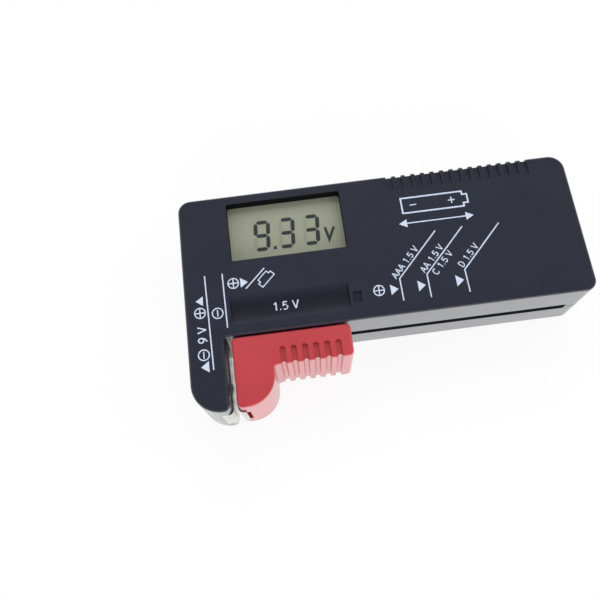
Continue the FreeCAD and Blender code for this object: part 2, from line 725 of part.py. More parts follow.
def slide_outline(sketch, inset, front_inset):
    """The plan of the slide: a bar along the case with a jaw at its left, inset from the outer face."""
    left = slide_left + inset
    right = slide_right - inset
    jaw_side = jaw_right - inset
    tip = jaw_front + inset
    front = bar_front + front_inset
    small = most(dim.slide_corner - inset, dim.least_corner)
    rounded_outline(sketch, [
        (left, tip, small),
        (jaw_side, tip, least(dim.jaw_corner - inset, jaw_side - left - small - dim.least_side)),
        (jaw_side, front, dim.slide_inner_corner),
        (right, front, small),
        (right, slide_back - inset, small),
        (left, slide_back - inset, small),
    ])


def slide_arm():
    """Red slide: cored bar and jaw outside, neck through the slot, guide flange and spring peg inside."""
    body = new_body("slide_arm")
    outer = new_sketch(body, "slide_outer", "XY_Plane", dim.slide_foot)
    slide_outline(outer, 0, 0)
    pad(body, outer, slide_top - dim.slide_foot)
    ease_edges(body, "Fillet", dim.slide_edge, at_height(slide_top))
    core = new_sketch(body, "slide_core", "XY_Plane", dim.slide_foot)
    slide_outline(core, dim.slide_wall, dim.slide_wall + dim.thumb_radius)
    pocket(body, core, slide_top - dim.slide_roof - dim.slide_foot)

    neck = new_sketch(body, "slide_neck", "XY_Plane", slot_bottom + dim.slide_clearance)
    rectangle(neck, neck_left, slide_back - dim.slide_wall / 2, neck_right, flange_back)
    pad(body, neck, neck_height)
    flange = new_sketch(body, "slide_flange", "XY_Plane", dim.parting_height - dim.flange_height / 2)
    rectangle(flange, neck_left - 0.8, flange_front, neck_right + 0.6, flange_back)
    pad(body, flange, dim.flange_height)
    ledge_bottom = dim.spring_height - dim.spring_radius - 0.5
    ledge = new_sketch(body, "peg_ledge", "XY_Plane", ledge_bottom)
    ledge_left = peg_left - dim.peg_radius - 0.1
    rectangle(ledge, ledge_left, flange_back - 0.5, neck_right + 0.6, spring_axis + 1.5)
    pad(body, ledge, 1.5)
    peg = new_sketch(body, "spring_peg", "XY_Plane", ledge_bottom + 0.5)
    circle(peg, peg_left, spring_axis, dim.peg_radius)
    pad(body, peg, peg_top - ledge_bottom - 0.5)

    groove_x = slide_left + dim.thumb_first
    channel = new_sketch(body, "thumb_channel", "XY_Plane", dim.slide_foot - 1)
    circle(channel, groove_x, bar_front, dim.thumb_radius)
    upright = pocket(body, channel, slide_top - dim.slide_foot + 2)
    hollow = new_sketch(body, "thumb_hollow", "XY_Plane", slide_top - dim.thumb_depth)
    round_end = dim.thumb_radius - 0.01
    rounded_outline(hollow, [
        (groove_x - dim.thumb_radius, bar_front - 1, 0),
        (groove_x + dim.thumb_radius, bar_front - 1, 0),
        (groove_x + dim.thumb_radius, bar_front + dim.thumb_reach, round_end),
        (groove_x - dim.thumb_radius, bar_front + dim.thumb_reach, round_end),
    ])
    level = pocket(body, hollow, dim.thumb_depth + 1)
    pattern_along_x(body, [upright, level], dim.thumb_pitch, dim.thumb_count)
    slit = new_sketch(body, "contact_slit", "XY_Plane", strip_bottom + 2)
    tab_end = slide_left + dim.slide_corner + dim.jaw_tab
    rectangle(slit, tab_end, jaw_front - 1, tab_end + 0.9, jaw_front + dim.slide_wall + 1)
    pocket(body, slit, dim.strip_height - 4)
    return keep(body, "slide_arm")


def slide_contact():
    """Nickel strip on the jaw: wraps round its tip, carries a dome, and reaches in through the slot."""
    body = new_body("slide_contact")
    front = jaw_front - dim.strip_thickness
    tab_right = slide_left + dim.slide_corner + dim.jaw_tab
    plan = new_sketch(body, "jaw_strip", "XY_Plane", strip_bottom)
    rounded_outline(plan, [
        (jaw_strip_left, front, dim.slide_corner + dim.strip_thickness),
        (tab_right, front, 0),
        (tab_right, jaw_front, 0),
        (slide_left, jaw_front, dim.slide_corner),
        (slide_left, -dim.strip_back_gap - dim.slide_corner, 0),
        (jaw_strip_left, -dim.strip_back_gap - dim.slide_corner, 0),
    ])
    pad(body, plan, dim.strip_height)
    tail = new_sketch(body, "jaw_tail", "XY_Plane", slot_bottom + dim.slide_clearance)
    rectangle(tail, jaw_strip_left, -dim.strip_back_gap - dim.slide_corner - 1, slide_left, flange_back + 0.2)
    pad(body, tail, neck_height)
    inside = new_sketch(body, "jaw_inner_tab", "XY_Plane", rail_top + 1.6)
    rectangle(inside, jaw_strip_left, flange_front, slide_left, flange_back + 0.2)
    pad(body, inside, slot_top - dim.slide_clearance - rail_top - 1.6)

    dome = new_sketch(body, "jaw_dome", "XY_Plane", dim.parting_height, -dim.dome_front)
    tip = jaw_strip_left - dim.dome_height
    root = jaw_strip_left + dim.strip_thickness / 2
    rise = root.number - tip.number
    radius = dim.dome_radius.number
    half = (radius ** 2 - (radius - rise) ** 2) ** 0.5
    middle = FreeCAD.Vector(tip.number + radius, 0, 0)
    apex = FreeCAD.Vector(tip.number, 0, 0)
    foot = FreeCAD.Vector(root.number, 0, 0)
    rim = FreeCAD.Vector(root.number, half, 0)
    sweep = math.atan2(half, root.number - middle.x)
    level = dome.addGeometry(Part.LineSegment(apex, foot))
    upright = dome.addGeometry(Part.LineSegment(foot, rim))
    arc = dome.addGeometry(Part.ArcOfCircle(Part.Circle(middle, Z_AXIS, radius), sweep, math.pi))
    for constraint in (("Coincident", level, 2, upright, 1), ("Coincident", upright, 2, arc, 1),
                       ("Coincident", arc, 2, level, 1), ("Vertical", upright), ("PointOnObject", arc, 3, -1),
                       ("PointOnObject", level, 1, -1), ("PointOnObject", level, 2, -1)):
        dome.addConstraint(Sketcher.Constraint(*constraint))
    fix(dome, "DistanceX", tip, level, 1)
    fix(dome, "DistanceX", root, level, 2)
    fix(dome, "Radius", dim.dome_radius, arc)
    turned = body.newObject("PartDesign::Revolution", "jaw_dome_turned")
    turned.Profile = dome
    turned.ReferenceAxis = (dome, ["H_Axis"])
    turned.Angle = 360
    hole = new_sketch(body, "rivet_hole", "YZ_Plane", jaw_strip_left - 1)
    circle(hole, *rivet_place(), dim.rivet_radius)
    pocket(body, hole, dim.strip_thickness + 2)
    return keep(body, "slide_contact")


def rivet_place():
    """The rivet's y and z, on the inner tab of the jaw's strip."""
    return flange_front + dim.flange_thickness / 2, rail_top + 3.2


def slide_wiper():
    """Spring leaf riveted to the jaw's strip: slopes down to the rail and turns up at its end."""
    body = new_body("slide_wiper")
    side = new_sketch(body, "wiper_side", "XZ_Plane", -flange_front - 0.2)
    low = rail_top + dim.wiper_clearance
    leaf = dim.wiper_thickness
    heel = rail_top + 1.9
    toe = slide_left + dim.wiper_length
    polygon(side, [
        (slide_left, heel),
        (toe, low),
        (toe + 1.4, low + 0.8),
        (toe + 1.3, low + 0.8 + leaf),
        (toe, low + leaf),
        (slide_left + leaf, heel + leaf),
        (slide_left + leaf, heel + 2.6),
        (slide_left, heel + 2.6),
    ])
    pad(body, side, dim.flange_thickness - 0.4, backwards=True)
    hole = new_sketch(body, "wiper_hole", "YZ_Plane", slide_left - 1)
    circle(hole, *rivet_place(), dim.rivet_radius)
    pocket(body, hole, leaf + 1.2)
    return keep(body, "slide_wiper")


def wiper_rivet():
    """Rivet through the strip's tab and the wiper."""
    y, z = rivet_place()
    head = 0.3
    grip = dim.strip_thickness + dim.wiper_thickness
    solid = fuse("rivet_solid", [
        cylinder("rivet_shank_rod", (jaw_strip_left - head, y, z), dim.rivet_radius, grip + 2 * head, X_AXIS),
        cylinder("rivet_head_left", (jaw_strip_left - head, y, z), dim.rivet_head, head, X_AXIS),
        cylinder("rivet_head_right", (jaw_strip_left + grip, y, z), dim.rivet_head, head, X_AXIS),
    ])
    return keep(solid, "wiper_rivet")


# Wound and bent wire


def arc_from_tangent(start, way, end):
    """The arc that leaves start along way and reaches end."""
    chord = end - start
    along = chord.dot(way)
    across = chord - way * along
    if across.Length < 1e-9:
        return Part.LineSegment(start, end)
    normal = FreeCAD.Vector(across).normalize()
    radius = chord.dot(chord) / (2 * chord.dot(normal))
    half_turn = math.atan2(chord.dot(normal), along)
    middle = start + way * (radius * math.sin(half_turn)) + normal * (radius * (1 - math.cos(half_turn)))
    return Part.Arc(start, middle, end)


def biarc(start, start_way, end, end_way):
    """Two arcs that meet smoothly and keep both end directions."""
    span = end - start
    sum_of_ways = start_way + end_way
    bend = 2 * (1 - start_way.dot(end_way))
    pull = span.dot(sum_of_ways)
    reach = (-pull + math.sqrt(pull * pull + bend * span.dot(span))) / bend
    joint = (start + end + (start_way - end_way) * reach) * 0.5
    meeting = (joint - start - start_way * reach).normalize()
    return [arc_from_tangent(start, start_way, joint), arc_from_tangent(joint, meeting, end)]


def tube(edges, radius):
    """A round tube along joined edges, tested against its section times its length."""
    path = Part.Wire([edge.toShape() for edge in edges])
    start = path.OrderedEdges[0]
    way = start.tangentAt(start.FirstParameter)
    section = Part.Wire([Part.makeCircle(radius, start.valueAt(start.FirstParameter), way)])
    solid = path.makePipeShell([section], True, False)
    expected = math.pi * radius ** 2 * path.Length
    if abs(solid.Volume / expected - 1) > 0.02:
        raise ValueError(f"tube volume {solid.Volume:.3f} is not section times length {expected:.3f}")
    return solid


def return_spring():
    """Extension spring from the post to the slide's peg, with a loop at each end that goes round its peg."""
    radius = dim.spring_radius.number
    turns = int(dim.spring_turns.number)
    left = dim.post_left.number + radius
    right = peg_left.number - radius
    pitch = (right - left) / turns
    axis_y = spring_axis.number
    axis_z = dim.spring_height.number
    slope = math.hypot(2 * math.pi * radius, pitch)
    quarters = 4 * turns

    def point(step):
        angle = step * math.pi / 2
        y = axis_y + radius * math.sin(angle)
        return FreeCAD.Vector(left + pitch * step / 4, y, axis_z + radius * math.cos(angle))

    def way(step):
        angle = step * math.pi / 2
        turn = 2 * math.pi * radius
        return FreeCAD.Vector(pitch, turn * math.cos(angle), -turn * math.sin(angle)) / slope

    edges = []
    for step in range(quarters):
        edges += biarc(point(step), way(step), point(step + 1), way(step + 1))
    first, last = point(0), point(quarters)
    first_way, last_way = way(0), way(quarters)
    loop_turns = 0.78 * 2 * math.pi

    def loop(start, leave, side):
        """Arc of most of a turn that leaves start along its own direction and bends towards side."""
        across = (side - leave * side.dot(leave)).normalize()
        centre = start + across * radius
        spots = [
            centre - across * (radius * math.cos(turn)) + leave * (radius * math.sin(turn))
            for turn in (0, loop_turns / 4, loop_turns / 2, loop_turns * 3 / 4, loop_turns)
        ]
        return [Part.Arc(spots[0], spots[1], spots[2]), Part.Arc(spots[2], spots[3], spots[4])]

    lead_in = loop(first, first_way * -1, X_AXIS * -1)
    lead_out = loop(last, last_way, X_AXIS)
    lead_in = [Part.Arc(arc.EndPoint, arc.value((arc.FirstParameter + arc.LastParameter) / 2), arc.StartPoint)
               for arc in reversed(lead_in)]
    edges = lead_in + edges + lead_out
    wire = dim.spring_wire.number
    samples = [point(step / 2) for step in range(2 * quarters + 1)]
    pairs = [(a, b) for i, a in enumerate(samples) for b in samples[i + 6:]]
    gap = min((a - b).Length for a, b in pairs) - wire
    print(f"spring: {turns} turns, pitch {pitch:.2f}, least gap {gap:.2f}")
    feature = doc.addObject("Part::Feature", "return_spring_coil")
    feature.Shape = tube(edges, wire / 2)
    return keep(feature, "return_spring")


def lead(node, places):
    """An insulated lead along straight runs joined by arcs as large as the runs allow."""
    points = [FreeCAD.Vector(*(measure(size).number for size in place)) for place in places]
    edges = []
    here = points[0]
    radii = []
    for before, corner, after in zip(points, points[1:], points[2:]):
        back = (before - corner)
        ahead = (after - corner)
        shorter = min(back.Length, ahead.Length)
        trim = 0.45 * shorter
        back.normalize()
        ahead.normalize()
        turn = math.pi - back.getAngle(ahead)
        if turn < STRAIGHT:
            continue
        radii.append(trim / math.tan(turn / 2))
        start = corner + back * trim
        edges.append(Part.LineSegment(here, start))
        edges.append(arc_from_tangent(start, back * -1, corner + ahead * trim))
        here = corner + ahead * trim
    edges.append(Part.LineSegment(here, points[-1]))
    print(f"{node}: bend radii " + ", ".join(f"{radius:.2f}" for radius in radii))
    feature = doc.addObject("Part::Feature", f"{node}_tube")
    feature.Shape = tube(edges, dim.lead_radius.number)
    return keep(feature, node)


def leads():
    """Leads from the contacts and the rail to the circuit board, over the spring."""
    joint = dim.parting_height
    tab_top = tab_bottom + dim.tab_height
    over = most(board_middle, loop_height + dim.spring_wire + 2 * dim.lead_radius)
    past_spring = spring_reach + 1.4

    tab_end = dim.wall + dim.nine_tab_reach
    plus_y = dim.nine_plus_front + dim.nine_length / 2
    plus_x = dim.board_left + 2.4
    pad_y = dim.board_front + 1.4
    lead("lead_9v_positive", [
        (tab_end, plus_y, joint), (plus_x - 3, plus_y, joint), (plus_x, pad_y, board_bottom - 2.8),
        (plus_x, pad_y, board_bottom),
    ])
    minus_x = dim.wall + dim.lead_radius + dim.lead_gap
    minus_y = nine_minus_front + dim.nine_length / 2
    minus_end = dim.board_front + 8.3
    lead("lead_9v_negative", [
        (minus_x, minus_y, tab_top), (minus_x, minus_y, over), (minus_x, past_spring, over),
        (minus_x, minus_end, board_middle), (dim.board_left, minus_end, board_middle),
    ])
    foot_x = dim.foot_width - dim.wall - dim.nine_tab_reach
    leg_back = leg_front + dim.strip_thickness
    foot_end = dim.board_front + 4.8
    lead("lead_foot", [
        (foot_x, leg_back, joint), (foot_x, leg_back + 2.4, joint), (foot_x, flange_back, over),
        (foot_x, past_spring, over), (foot_x, foot_end, board_middle),
        (dim.board_left, foot_end, board_middle),
    ])
    rail_x = rail_left + dim.strip_thickness / 2
    rail_y = rail_front + dim.rail_width / 2
    rail_end = most(rail_x, dim.board_left + dim.lead_radius)
    lead("lead_rail", [
        (rail_x, rail_y, rail_bottom + dim.rail_end_height), (rail_x, rail_y, over),
        (rail_end, past_spring, over), (rail_end, dim.board_front - dim.lead_gap, board_middle),
        (rail_end, dim.board_front, board_middle),
    ])


# Display and circuit board


def keep_block(node, low, size):
    """A plain block as a finished sub-part."""
    return keep(group(f"{node}_part", [box(f"{node}_block", low, size)]), node)


def display():
    """Front and rear glass, reflector film, frame, and the rubber connector from the glass to the board."""
    front = lcd_ledge_back - dim.lcd_ledge
    width = lcd_back - front
    rear_width = lcd_back - lcd_ledge_back
    glass_bottom = lcd_top - dim.lcd_front
    keep_block("lcd_front_glass", (lcd_left, front, glass_bottom), (lcd_length, width, dim.lcd_front))
    keep_block("lcd_rear_glass", (lcd_left, lcd_ledge_back, glass_bottom - dim.lcd_rear),
               (lcd_length, rear_width, dim.lcd_rear))
    keep_block("lcd_reflector", (lcd_left, lcd_ledge_back, film_bottom),
               (lcd_length, rear_width, dim.lcd_film))
    zebra_left = lcd_left + lcd_length / 2 - dim.zebra_length / 2
    zebra_front = front + (dim.lcd_ledge - dim.zebra_width) / 2
    keep_block("zebra_strip", (zebra_left, zebra_front, board_top),
               (dim.zebra_length, dim.zebra_width, glass_bottom - board_top))
    rim = dim.frame_wall
    block = box("frame_block", (lcd_left - rim, front - rim, board_top),
                (lcd_length + rim * 2, width + rim, dim.frame_height))
    play = dim.zebra_play
    slot = box("frame_zebra_slot", (zebra_left - play, zebra_front - play, board_top - 1),
               (dim.zebra_length + 2 * play, dim.zebra_width + 2 * play, dim.frame_height + 2))
    light = box("frame_window", (dim.window_left, dim.window_front, board_top - 1),
                (dim.window_length, dim.window_width - rim, dim.frame_height + 2))
    keep(cut("frame_solid", block, fuse("frame_holes", [slot, light])), "lcd_frame")


def circuit_board():
    """Board with three screw holes."""
    body = new_body("circuit_board")
    plan = new_sketch(body, "board_plan", "XY_Plane", board_bottom)
    board_back = least(dim.board_front + dim.board_width, back_wall - dim.lcd_wall_gap)
    rectangle(plan, dim.board_left, dim.board_front, board_right, board_back, dim.board_corner)
    pad(body, plan, dim.board_thickness)
    holes = new_sketch(body, "board_holes", "XY_Plane", board_bottom - 1)
    for x, y in board_screw_places:
        circle(holes, x, y, dim.board_screw + dim.hole_clearance)
    pocket(body, holes, dim.board_thickness + 2)
    keep(body, "circuit_board")
    screws = [
        cross_head_screw(f"board_screw_{i}", x, y, board_bottom, dim.board_screw_head, measure(1.2),
                         dim.board_screw, dim.board_screw_length)
        for i, (x, y) in enumerate(board_screw_places)
    ]
    keep(group("board_screw_set", screws), "board_screws")


def components():
    """What the board carries: sealed chip below; coil, capacitor, resistor, diode and small chips on top."""
    blob = doc.addObject("Part::Sphere", "chip_dome")
    dome_radius = 12.0
    dome_height = 1.7
    blob.Radius = dome_radius
    blob.Angle1 = math.degrees(math.asin((dome_radius - dome_height) / dome_radius))
    blob.Placement = FreeCAD.Placement(FreeCAD.Vector(), FreeCAD.Rotation(X_AXIS, 180))
    chip_place = (dim.board_left + 22, dim.board_front + 15, board_bottom + dome_radius - dome_height)
    for axis, place in zip("xyz", chip_place):
        bind(blob, f"Placement.Base.{axis}", place)
    keep(group("chip_cover_solid", [blob]), "chip_cover")

    coil_x, coil_y = board_right - 14, dim.board_front + 5.2
    core = fuse("coil_core_solid", [
        cylinder("coil_foot", (coil_x, coil_y, board_top), 3.0, 0.8),
        cylinder("coil_post", (coil_x, coil_y, board_top), 1.3, 4.0),
        cylinder("coil_cap", (coil_x, coil_y, board_top + 3.2), 3.0, 0.8),
    ])
    keep(core, "coil_core")
    outer = cylinder("winding_outer", (coil_x, coil_y, board_top + 0.8), 2.7, 2.4)
    inner = cylinder("winding_inner", (coil_x, coil_y, board_top), 1.3, 4.0)
    keep(cut("coil_winding_solid", outer, inner), "coil_winding")

    can_x, can_y = board_right - 14, dim.board_front + 13.5
    can = fuse("capacitor_solid", [
        box("capacitor_base", (can_x - 2.6, can_y - 2.6, board_top), (5.2, 5.2, 0.7)),
        cylinder("capacitor_can", (can_x, can_y, board_top), 2.5, 4.4),
    ])
    keep(can, "filter_capacitor")

    body_length = 6.5
    reach = 9.5
    load_x, load_y, load_z = board_right - 18, dim.board_front + 21.5, board_top + 1.6
    body_x = load_x + (reach - body_length) / 2
    legs = [
        cylinder(f"load_leg_{i}", (load_x + place, load_y, board_top), 0.3, 1.9)
        for i, place in enumerate((0.3, reach - 0.3))
    ]
    load = fuse("load_solid", [
        cylinder("load_body", (body_x, load_y, load_z), 1.25, body_length, X_AXIS),
        cylinder("load_wire", (load_x, load_y, load_z), 0.3, reach, X_AXIS),
    ] + legs)
    keep(load, "load_resistor")
    keep_block("rectifier_diode", (board_right - 8.5, dim.board_front + 9, board_top), (4.3, 2.6, 2.1))

    def chips(node, rows, chip_size):
        low = board_bottom - chip_size[2]
        blocks = [box(f"{node}_{i}", (dim.board_left + x, dim.board_front + y, low), chip_size)
                  for i, (x, y) in enumerate(rows)]
        keep(group(f"{node}_set", blocks), node)

    chips("chip_resistors", [(34 + 3.4 * i, 8.0) for i in range(6)], (2.0, 1.25, 0.55))
    chips("chip_capacitors", [(34 + 3.4 * i, 12.0) for i in range(4)], (2.0, 1.25, 0.9))


def check_document():
    """Stop on a failed feature, a cut that took nothing away or a sub-part that isn't sound."""
    for thing in doc.Objects:
        if "Invalid" in thing.State or "Error" in thing.State:
            raise RuntimeError(f"{thing.Name} failed: {thing.State}")
    for feature in cuts:
        if feature.BaseFeature.Shape.Volume - feature.Shape.Volume < 1e-3:
            raise RuntimeError(f"{feature.Name} cut nothing")
    for thing in nodes:
        if thing.Shape.isNull() or not thing.Shape.isValid() or not thing.Shape.Solids:
            raise RuntimeError(f"{thing.Label} is not a sound solid")


top_case()
bottom_case()
case_screws()
foot_contact()
nine_volt_contact("contact_9v_positive", dim.nine_plus_front)
nine_volt_contact("contact_9v_negative", nine_minus_front)
contact_rail()
slide_arm()
slide_contact()
slide_wiper()
wiper_rivet()
return_spring()
leads()
display()
circuit_board()
components()
doc.recompute()
check_document()
os.makedirs("parts", exist_ok=True)
for thing in nodes:
    thing.Shape.exportStep(os.path.join("parts", f"{thing.Label}.step"))
    print(f"{thing.Label}: {len(thing.Shape.Solids)} solid, {thing.Shape.Volume:.1f} mm3")
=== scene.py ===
"""Looks of the battery tester: finishes for its built pieces, the print on its case and the display's segments."""

import math

import bpy
import numpy as np
from mathutils import Matrix, Vector


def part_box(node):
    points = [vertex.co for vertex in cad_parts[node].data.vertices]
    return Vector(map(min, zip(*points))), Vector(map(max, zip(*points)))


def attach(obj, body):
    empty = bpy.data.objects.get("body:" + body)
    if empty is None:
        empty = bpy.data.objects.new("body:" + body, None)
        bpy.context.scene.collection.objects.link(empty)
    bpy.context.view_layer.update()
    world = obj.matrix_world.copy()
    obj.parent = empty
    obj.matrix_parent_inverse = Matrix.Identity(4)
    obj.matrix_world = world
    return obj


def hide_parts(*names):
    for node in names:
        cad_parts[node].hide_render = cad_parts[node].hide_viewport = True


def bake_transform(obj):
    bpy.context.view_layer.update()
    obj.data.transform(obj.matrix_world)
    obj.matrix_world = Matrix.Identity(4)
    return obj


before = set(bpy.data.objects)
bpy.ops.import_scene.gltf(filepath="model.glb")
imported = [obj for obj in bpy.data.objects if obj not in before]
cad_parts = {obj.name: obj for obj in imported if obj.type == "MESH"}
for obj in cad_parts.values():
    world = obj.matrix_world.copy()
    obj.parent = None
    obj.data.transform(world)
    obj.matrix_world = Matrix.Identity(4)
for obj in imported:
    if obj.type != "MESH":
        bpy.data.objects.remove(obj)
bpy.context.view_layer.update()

MM = 0.001

# Places that the built pieces give, in metres

case_low, case_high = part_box("top_case")
glass_low, glass_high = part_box("lcd_front_glass")
CASE_DEPTH = 41.0
LEFT_END = case_low[0]
FRONT_WALL = case_high[1] - CASE_DEPTH * MM
CASE_TOP = case_high[2]
GLASS_TOP = glass_high[2]

# Sizes of the print and the display, in millimetres; places are from the case's left end and its front wall

INK_FOOT = -0.006
INK_TOP = 0.010
INK_LAYERS = 4
LAYER_SHARE = 0.3
LINE = 0.34
SIGN_LINE = LINE * 0.9
TIP_WIDTH = 0.02
RING_RADIUS = 1.42
RING_POINTS = 40
PLUS_REACH = 1.3
MINUS_REACH = 0.95
LETTER_HEIGHT = 1.8
LABEL_HEIGHT = 2.3
LETTER_GAP = 0.62
LETTER_SPACE = 0.09
STROKE_SHARE = 0.15
BOW_POINTS = 18

TROUGH_MIDDLE = 6.775
TROUGH_RADIUS = 9.0
TROUGH_DEPTH = 0.9
TROUGH_LEFT = 12.2
TROUGH_FRONT = 2.85
TROUGH_BACK = 10.7
SQUARE_RIGHT = 47.6
EDGE_DEPTH = 0.02

DIGIT_LEFT = 20.02
DIGIT_FOOT = 24.05
DIGIT_PITCH = 7.0
DIGIT_WIDTH = 4.65
DIGIT_HEIGHT = 9.3
DIGIT_LEAN = math.tan(math.radians(4.5))
SEGMENT_WIDTH = 1.12
SEGMENT_GAP = 0.24
SEGMENT_TAPER = 0.5

SPRING_RADIUS = 1.6
SPRING_WIRE = 0.5
SPRING_TURNS = 24
TURN_POINTS = 24
WIRE_SIDES = 10
LOOP_SHARE = 0.78
LOOP_POINTS = 24


# Flat print, worked out as arrays


def strip(path, width, closed=False):
    """A flat strip: each path point moves half the width to either side, along the line that halves the path's turn
    and by one over the cosine of half that turn. Its four edges run at the ink's foot and top."""
    path = np.asarray(path, float)
    if closed:
        before = np.roll(path, 1, axis=0)
        after = np.roll(path, -1, axis=0)
    else:
        before = np.vstack((2 * path[0] - path[1], path[:-1]))
        after = np.vstack((path[1:], 2 * path[-1] - path[-2]))
    into = unit(path - before)
    onward = unit(after - path)
    along = unit(into + onward)
    across = np.stack((-along[:, 1], along[:, 0]), axis=1)
    spread = 1 / (into * along).sum(axis=1)
    half = (np.broadcast_to(width, len(path)) / 2 * spread)[:, None]
    left = path + across * half
    right = path - across * half
    levels = np.array([INK_FOOT, INK_FOOT, INK_TOP, INK_TOP])
    edges = np.stack((left, right, right, left), axis=1)
    height = np.broadcast_to(levels, (len(path), 4))[:, :, None]
    points = np.concatenate((edges, height), axis=2).reshape(-1, 3)
    return points, strip_faces(len(path), closed)


def unit(steps):
    """Each row divided by its own length."""
    return steps / np.linalg.norm(steps, axis=1, keepdims=True)


def strip_faces(count, closed):
    """Four faces from each station of the strip to the next, and a cap at each end of an open one."""
    stations = np.arange(count if closed else count - 1)
    here = stations[:, None] * 4 + np.arange(4)
    turned = stations[:, None] * 4 + (np.arange(4) + 1) % 4
    ahead = (here + 4) % (count * 4)
    ahead_turned = (turned + 4) % (count * 4)
    faces = np.stack((here, ahead, ahead_turned, turned), axis=2).reshape(-1, 4)
    if closed:
        return faces.tolist()
    last = (count - 1) * 4
    caps = [[0, 1, 2, 3], [last + 3, last + 2, last + 1, last]]
    return faces.tolist() + caps


def line(*points):
    """A printed line of the usual width through the points."""
    return strip(points, LINE)


def arrow(tip, base_a, base_b):
    """A filled arrowhead: a strip from the middle of its base to its tip that narrows to nothing."""
    base_a = np.array(base_a)
    base_b = np.array(base_b)
    middle = (base_a + base_b) / 2
    return strip([middle, tip], [np.linalg.norm(base_b - base_a), TIP_WIDTH])


def ring(centre):
    """A printed ring: a closed strip along a circle."""
    turn = np.linspace(0, 2 * math.pi, RING_POINTS, endpoint=False)
    circle = np.stack((np.cos(turn), np.sin(turn)), axis=1)
    return strip(circle * RING_RADIUS + centre, SIGN_LINE, closed=True)


def bar(centre, angle, reach=MINUS_REACH):
    """A short straight stroke through a centre, at an angle in degrees."""
    step = np.array((math.cos(math.radians(angle)), math.sin(math.radians(angle)))) * reach
    return strip([np.array(centre) - step, np.array(centre) + step], SIGN_LINE)


def plus_sign(centre):
    """A plus in a ring."""
    return [ring(centre), bar(centre, 0, PLUS_REACH), bar(centre, 90, PLUS_REACH)]


def minus_sign(centre):
    """A minus in a ring, set upright."""
    return [ring(centre), bar(centre, 90)]


def bow(centre, reach, start, stop):
    """Points along part of an ellipse, from one angle to another in degrees."""
    turn = np.radians(np.linspace(start, stop, BOW_POINTS))
    return np.stack((np.cos(turn), np.sin(turn)), axis=1) * reach + centre


def glyphs():
    """Strokes of each figure and letter used, in parts of the letters' height, with the width each takes up."""
    leg = (0.34, 0.0)
    peak = (0.34, 1.0)
    stem_foot = (0.08, 0.02)
    stem_top = (0.08, 0.98)
    round_back = np.vstack((stem_top, bow((0.28, 0.5), (0.37, 0.48), 90, -90), stem_foot))
    return {
        "A": (0.76, [[(0.0, 0.0), peak], [(0.68, 0.0), peak], [(0.13, 0.34), (0.55, 0.34)]]),
        "C": (0.80, [bow((0.38, 0.5), (0.35, 0.48), 42, 318)]),
        "D": (0.80, [[stem_foot, stem_top], round_back]),
        "V": (0.76, [[(0.0, 1.0), leg], [(0.68, 1.0), leg]]),
        "1": (0.60, [[(0.34, 0.0), (0.34, 1.0)], [(0.10, 0.76), (0.34, 0.95)]]),
        "5": (0.70, [[(0.58, 0.95), (0.15, 0.95), (0.09, 0.46)], bow((0.31, 0.32), (0.28, 0.29), 142, -145)]),
        "9": (0.70, [bow((0.32, 0.67), (0.27, 0.30), 0, 360), bow((0.13, 0.67), (0.46, 0.64), 0, -88)]),
        ".": (0.30, [[(0.08, 0.07), (0.22, 0.07)]]),
        " ": (0.34, []),
    }


def lettering(text, start, angle=0.0, height=LETTER_HEIGHT):
    """Stroked letters: each stroke a strip, the letters set side by side and turned about the baseline's start."""
    turn = math.radians(angle)
    slant = np.array(((math.cos(turn), math.sin(turn)), (-math.sin(turn), math.cos(turn))))
    shapes = glyphs()
    parts = []
    reached = 0.0
    for letter in text:
        advance, strokes = shapes[letter]
        plans = [(np.array(stroke) + (reached, 0.0)) * height @ slant + start for stroke in strokes]
        parts += [strip(plan, height * STROKE_SHARE) for plan in plans]
        reached += advance + LETTER_SPACE
    return parts


def flat_top(points):
    """Height of the case's flat top, which is nothing above itself."""
    return np.zeros(len(points))


def trough_floor(points):
    """Height of the trough below the case's top: a round floor, deepest along its middle."""
    aside = points[:, 1] - TROUGH_MIDDLE
    return TROUGH_RADIUS - TROUGH_DEPTH - np.sqrt(TROUGH_RADIUS ** 2 - aside ** 2)


def surface_piece(name, parts, finish, origin):
    """One piece from parts in millimetres: their arrays joined, and moved to an origin in metres."""
    points = np.vstack([part[0] for part in parts]) * MM + origin
    starts = np.cumsum([0] + [len(part[0]) for part in parts])
    faces = [[corner + start for corner in face] for part, start in zip(parts, starts) for face in part[1]]
    mesh = bpy.data.meshes.new(name)
    mesh.from_pydata(points.tolist(), [], faces)
    mesh.materials.append(finish)
    piece = bpy.data.objects.new(name, mesh)
    bpy.context.collection.objects.link(piece)
    return piece


def printed(name, parts, finish, level=CASE_TOP, surface=flat_top):
    """A piece of flat parts, laid on a surface of the case. The ink's thickness goes up by a share from part to part
    and starts again after a few, so that strokes that cross share no face."""
    laid = []
    for order, (points, faces) in enumerate(parts):
        thicker = points * (1, 1, 1 + LAYER_SHARE * (order % INK_LAYERS))
        laid.append((thicker + surface(points)[:, None] * (0, 0, 1), faces))
    piece = surface_piece(name, laid, finish, np.array((LEFT_END, FRONT_WALL, level)))
    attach(piece, "case")


# Finishes


class Value:
    """A shader socket that takes part in arithmetic: each operator adds one Math node."""

    def __init__(self, finish, socket):
        self.finish = finish
        self.socket = socket

    def math(self, operation, *values):
        return self.finish.node("ShaderNodeMath", {"operation": operation}, dict(enumerate(values)))

    def __add__(self, other):
        return self.math("ADD", self, other)

    def __radd__(self, other):
        return self.math("ADD", other, self)

    def __sub__(self, other):
        return self.math("SUBTRACT", self, other)

    def __rsub__(self, other):
        return self.math("SUBTRACT", other, self)

    def __mul__(self, other):
        return self.math("MULTIPLY", self, other)

    def __rmul__(self, other):
        return self.math("MULTIPLY", other, self)

    def __gt__(self, other):
        return self.math("GREATER_THAN", self, other)

    def __lt__(self, other):
        return self.math("LESS_THAN", self, other)


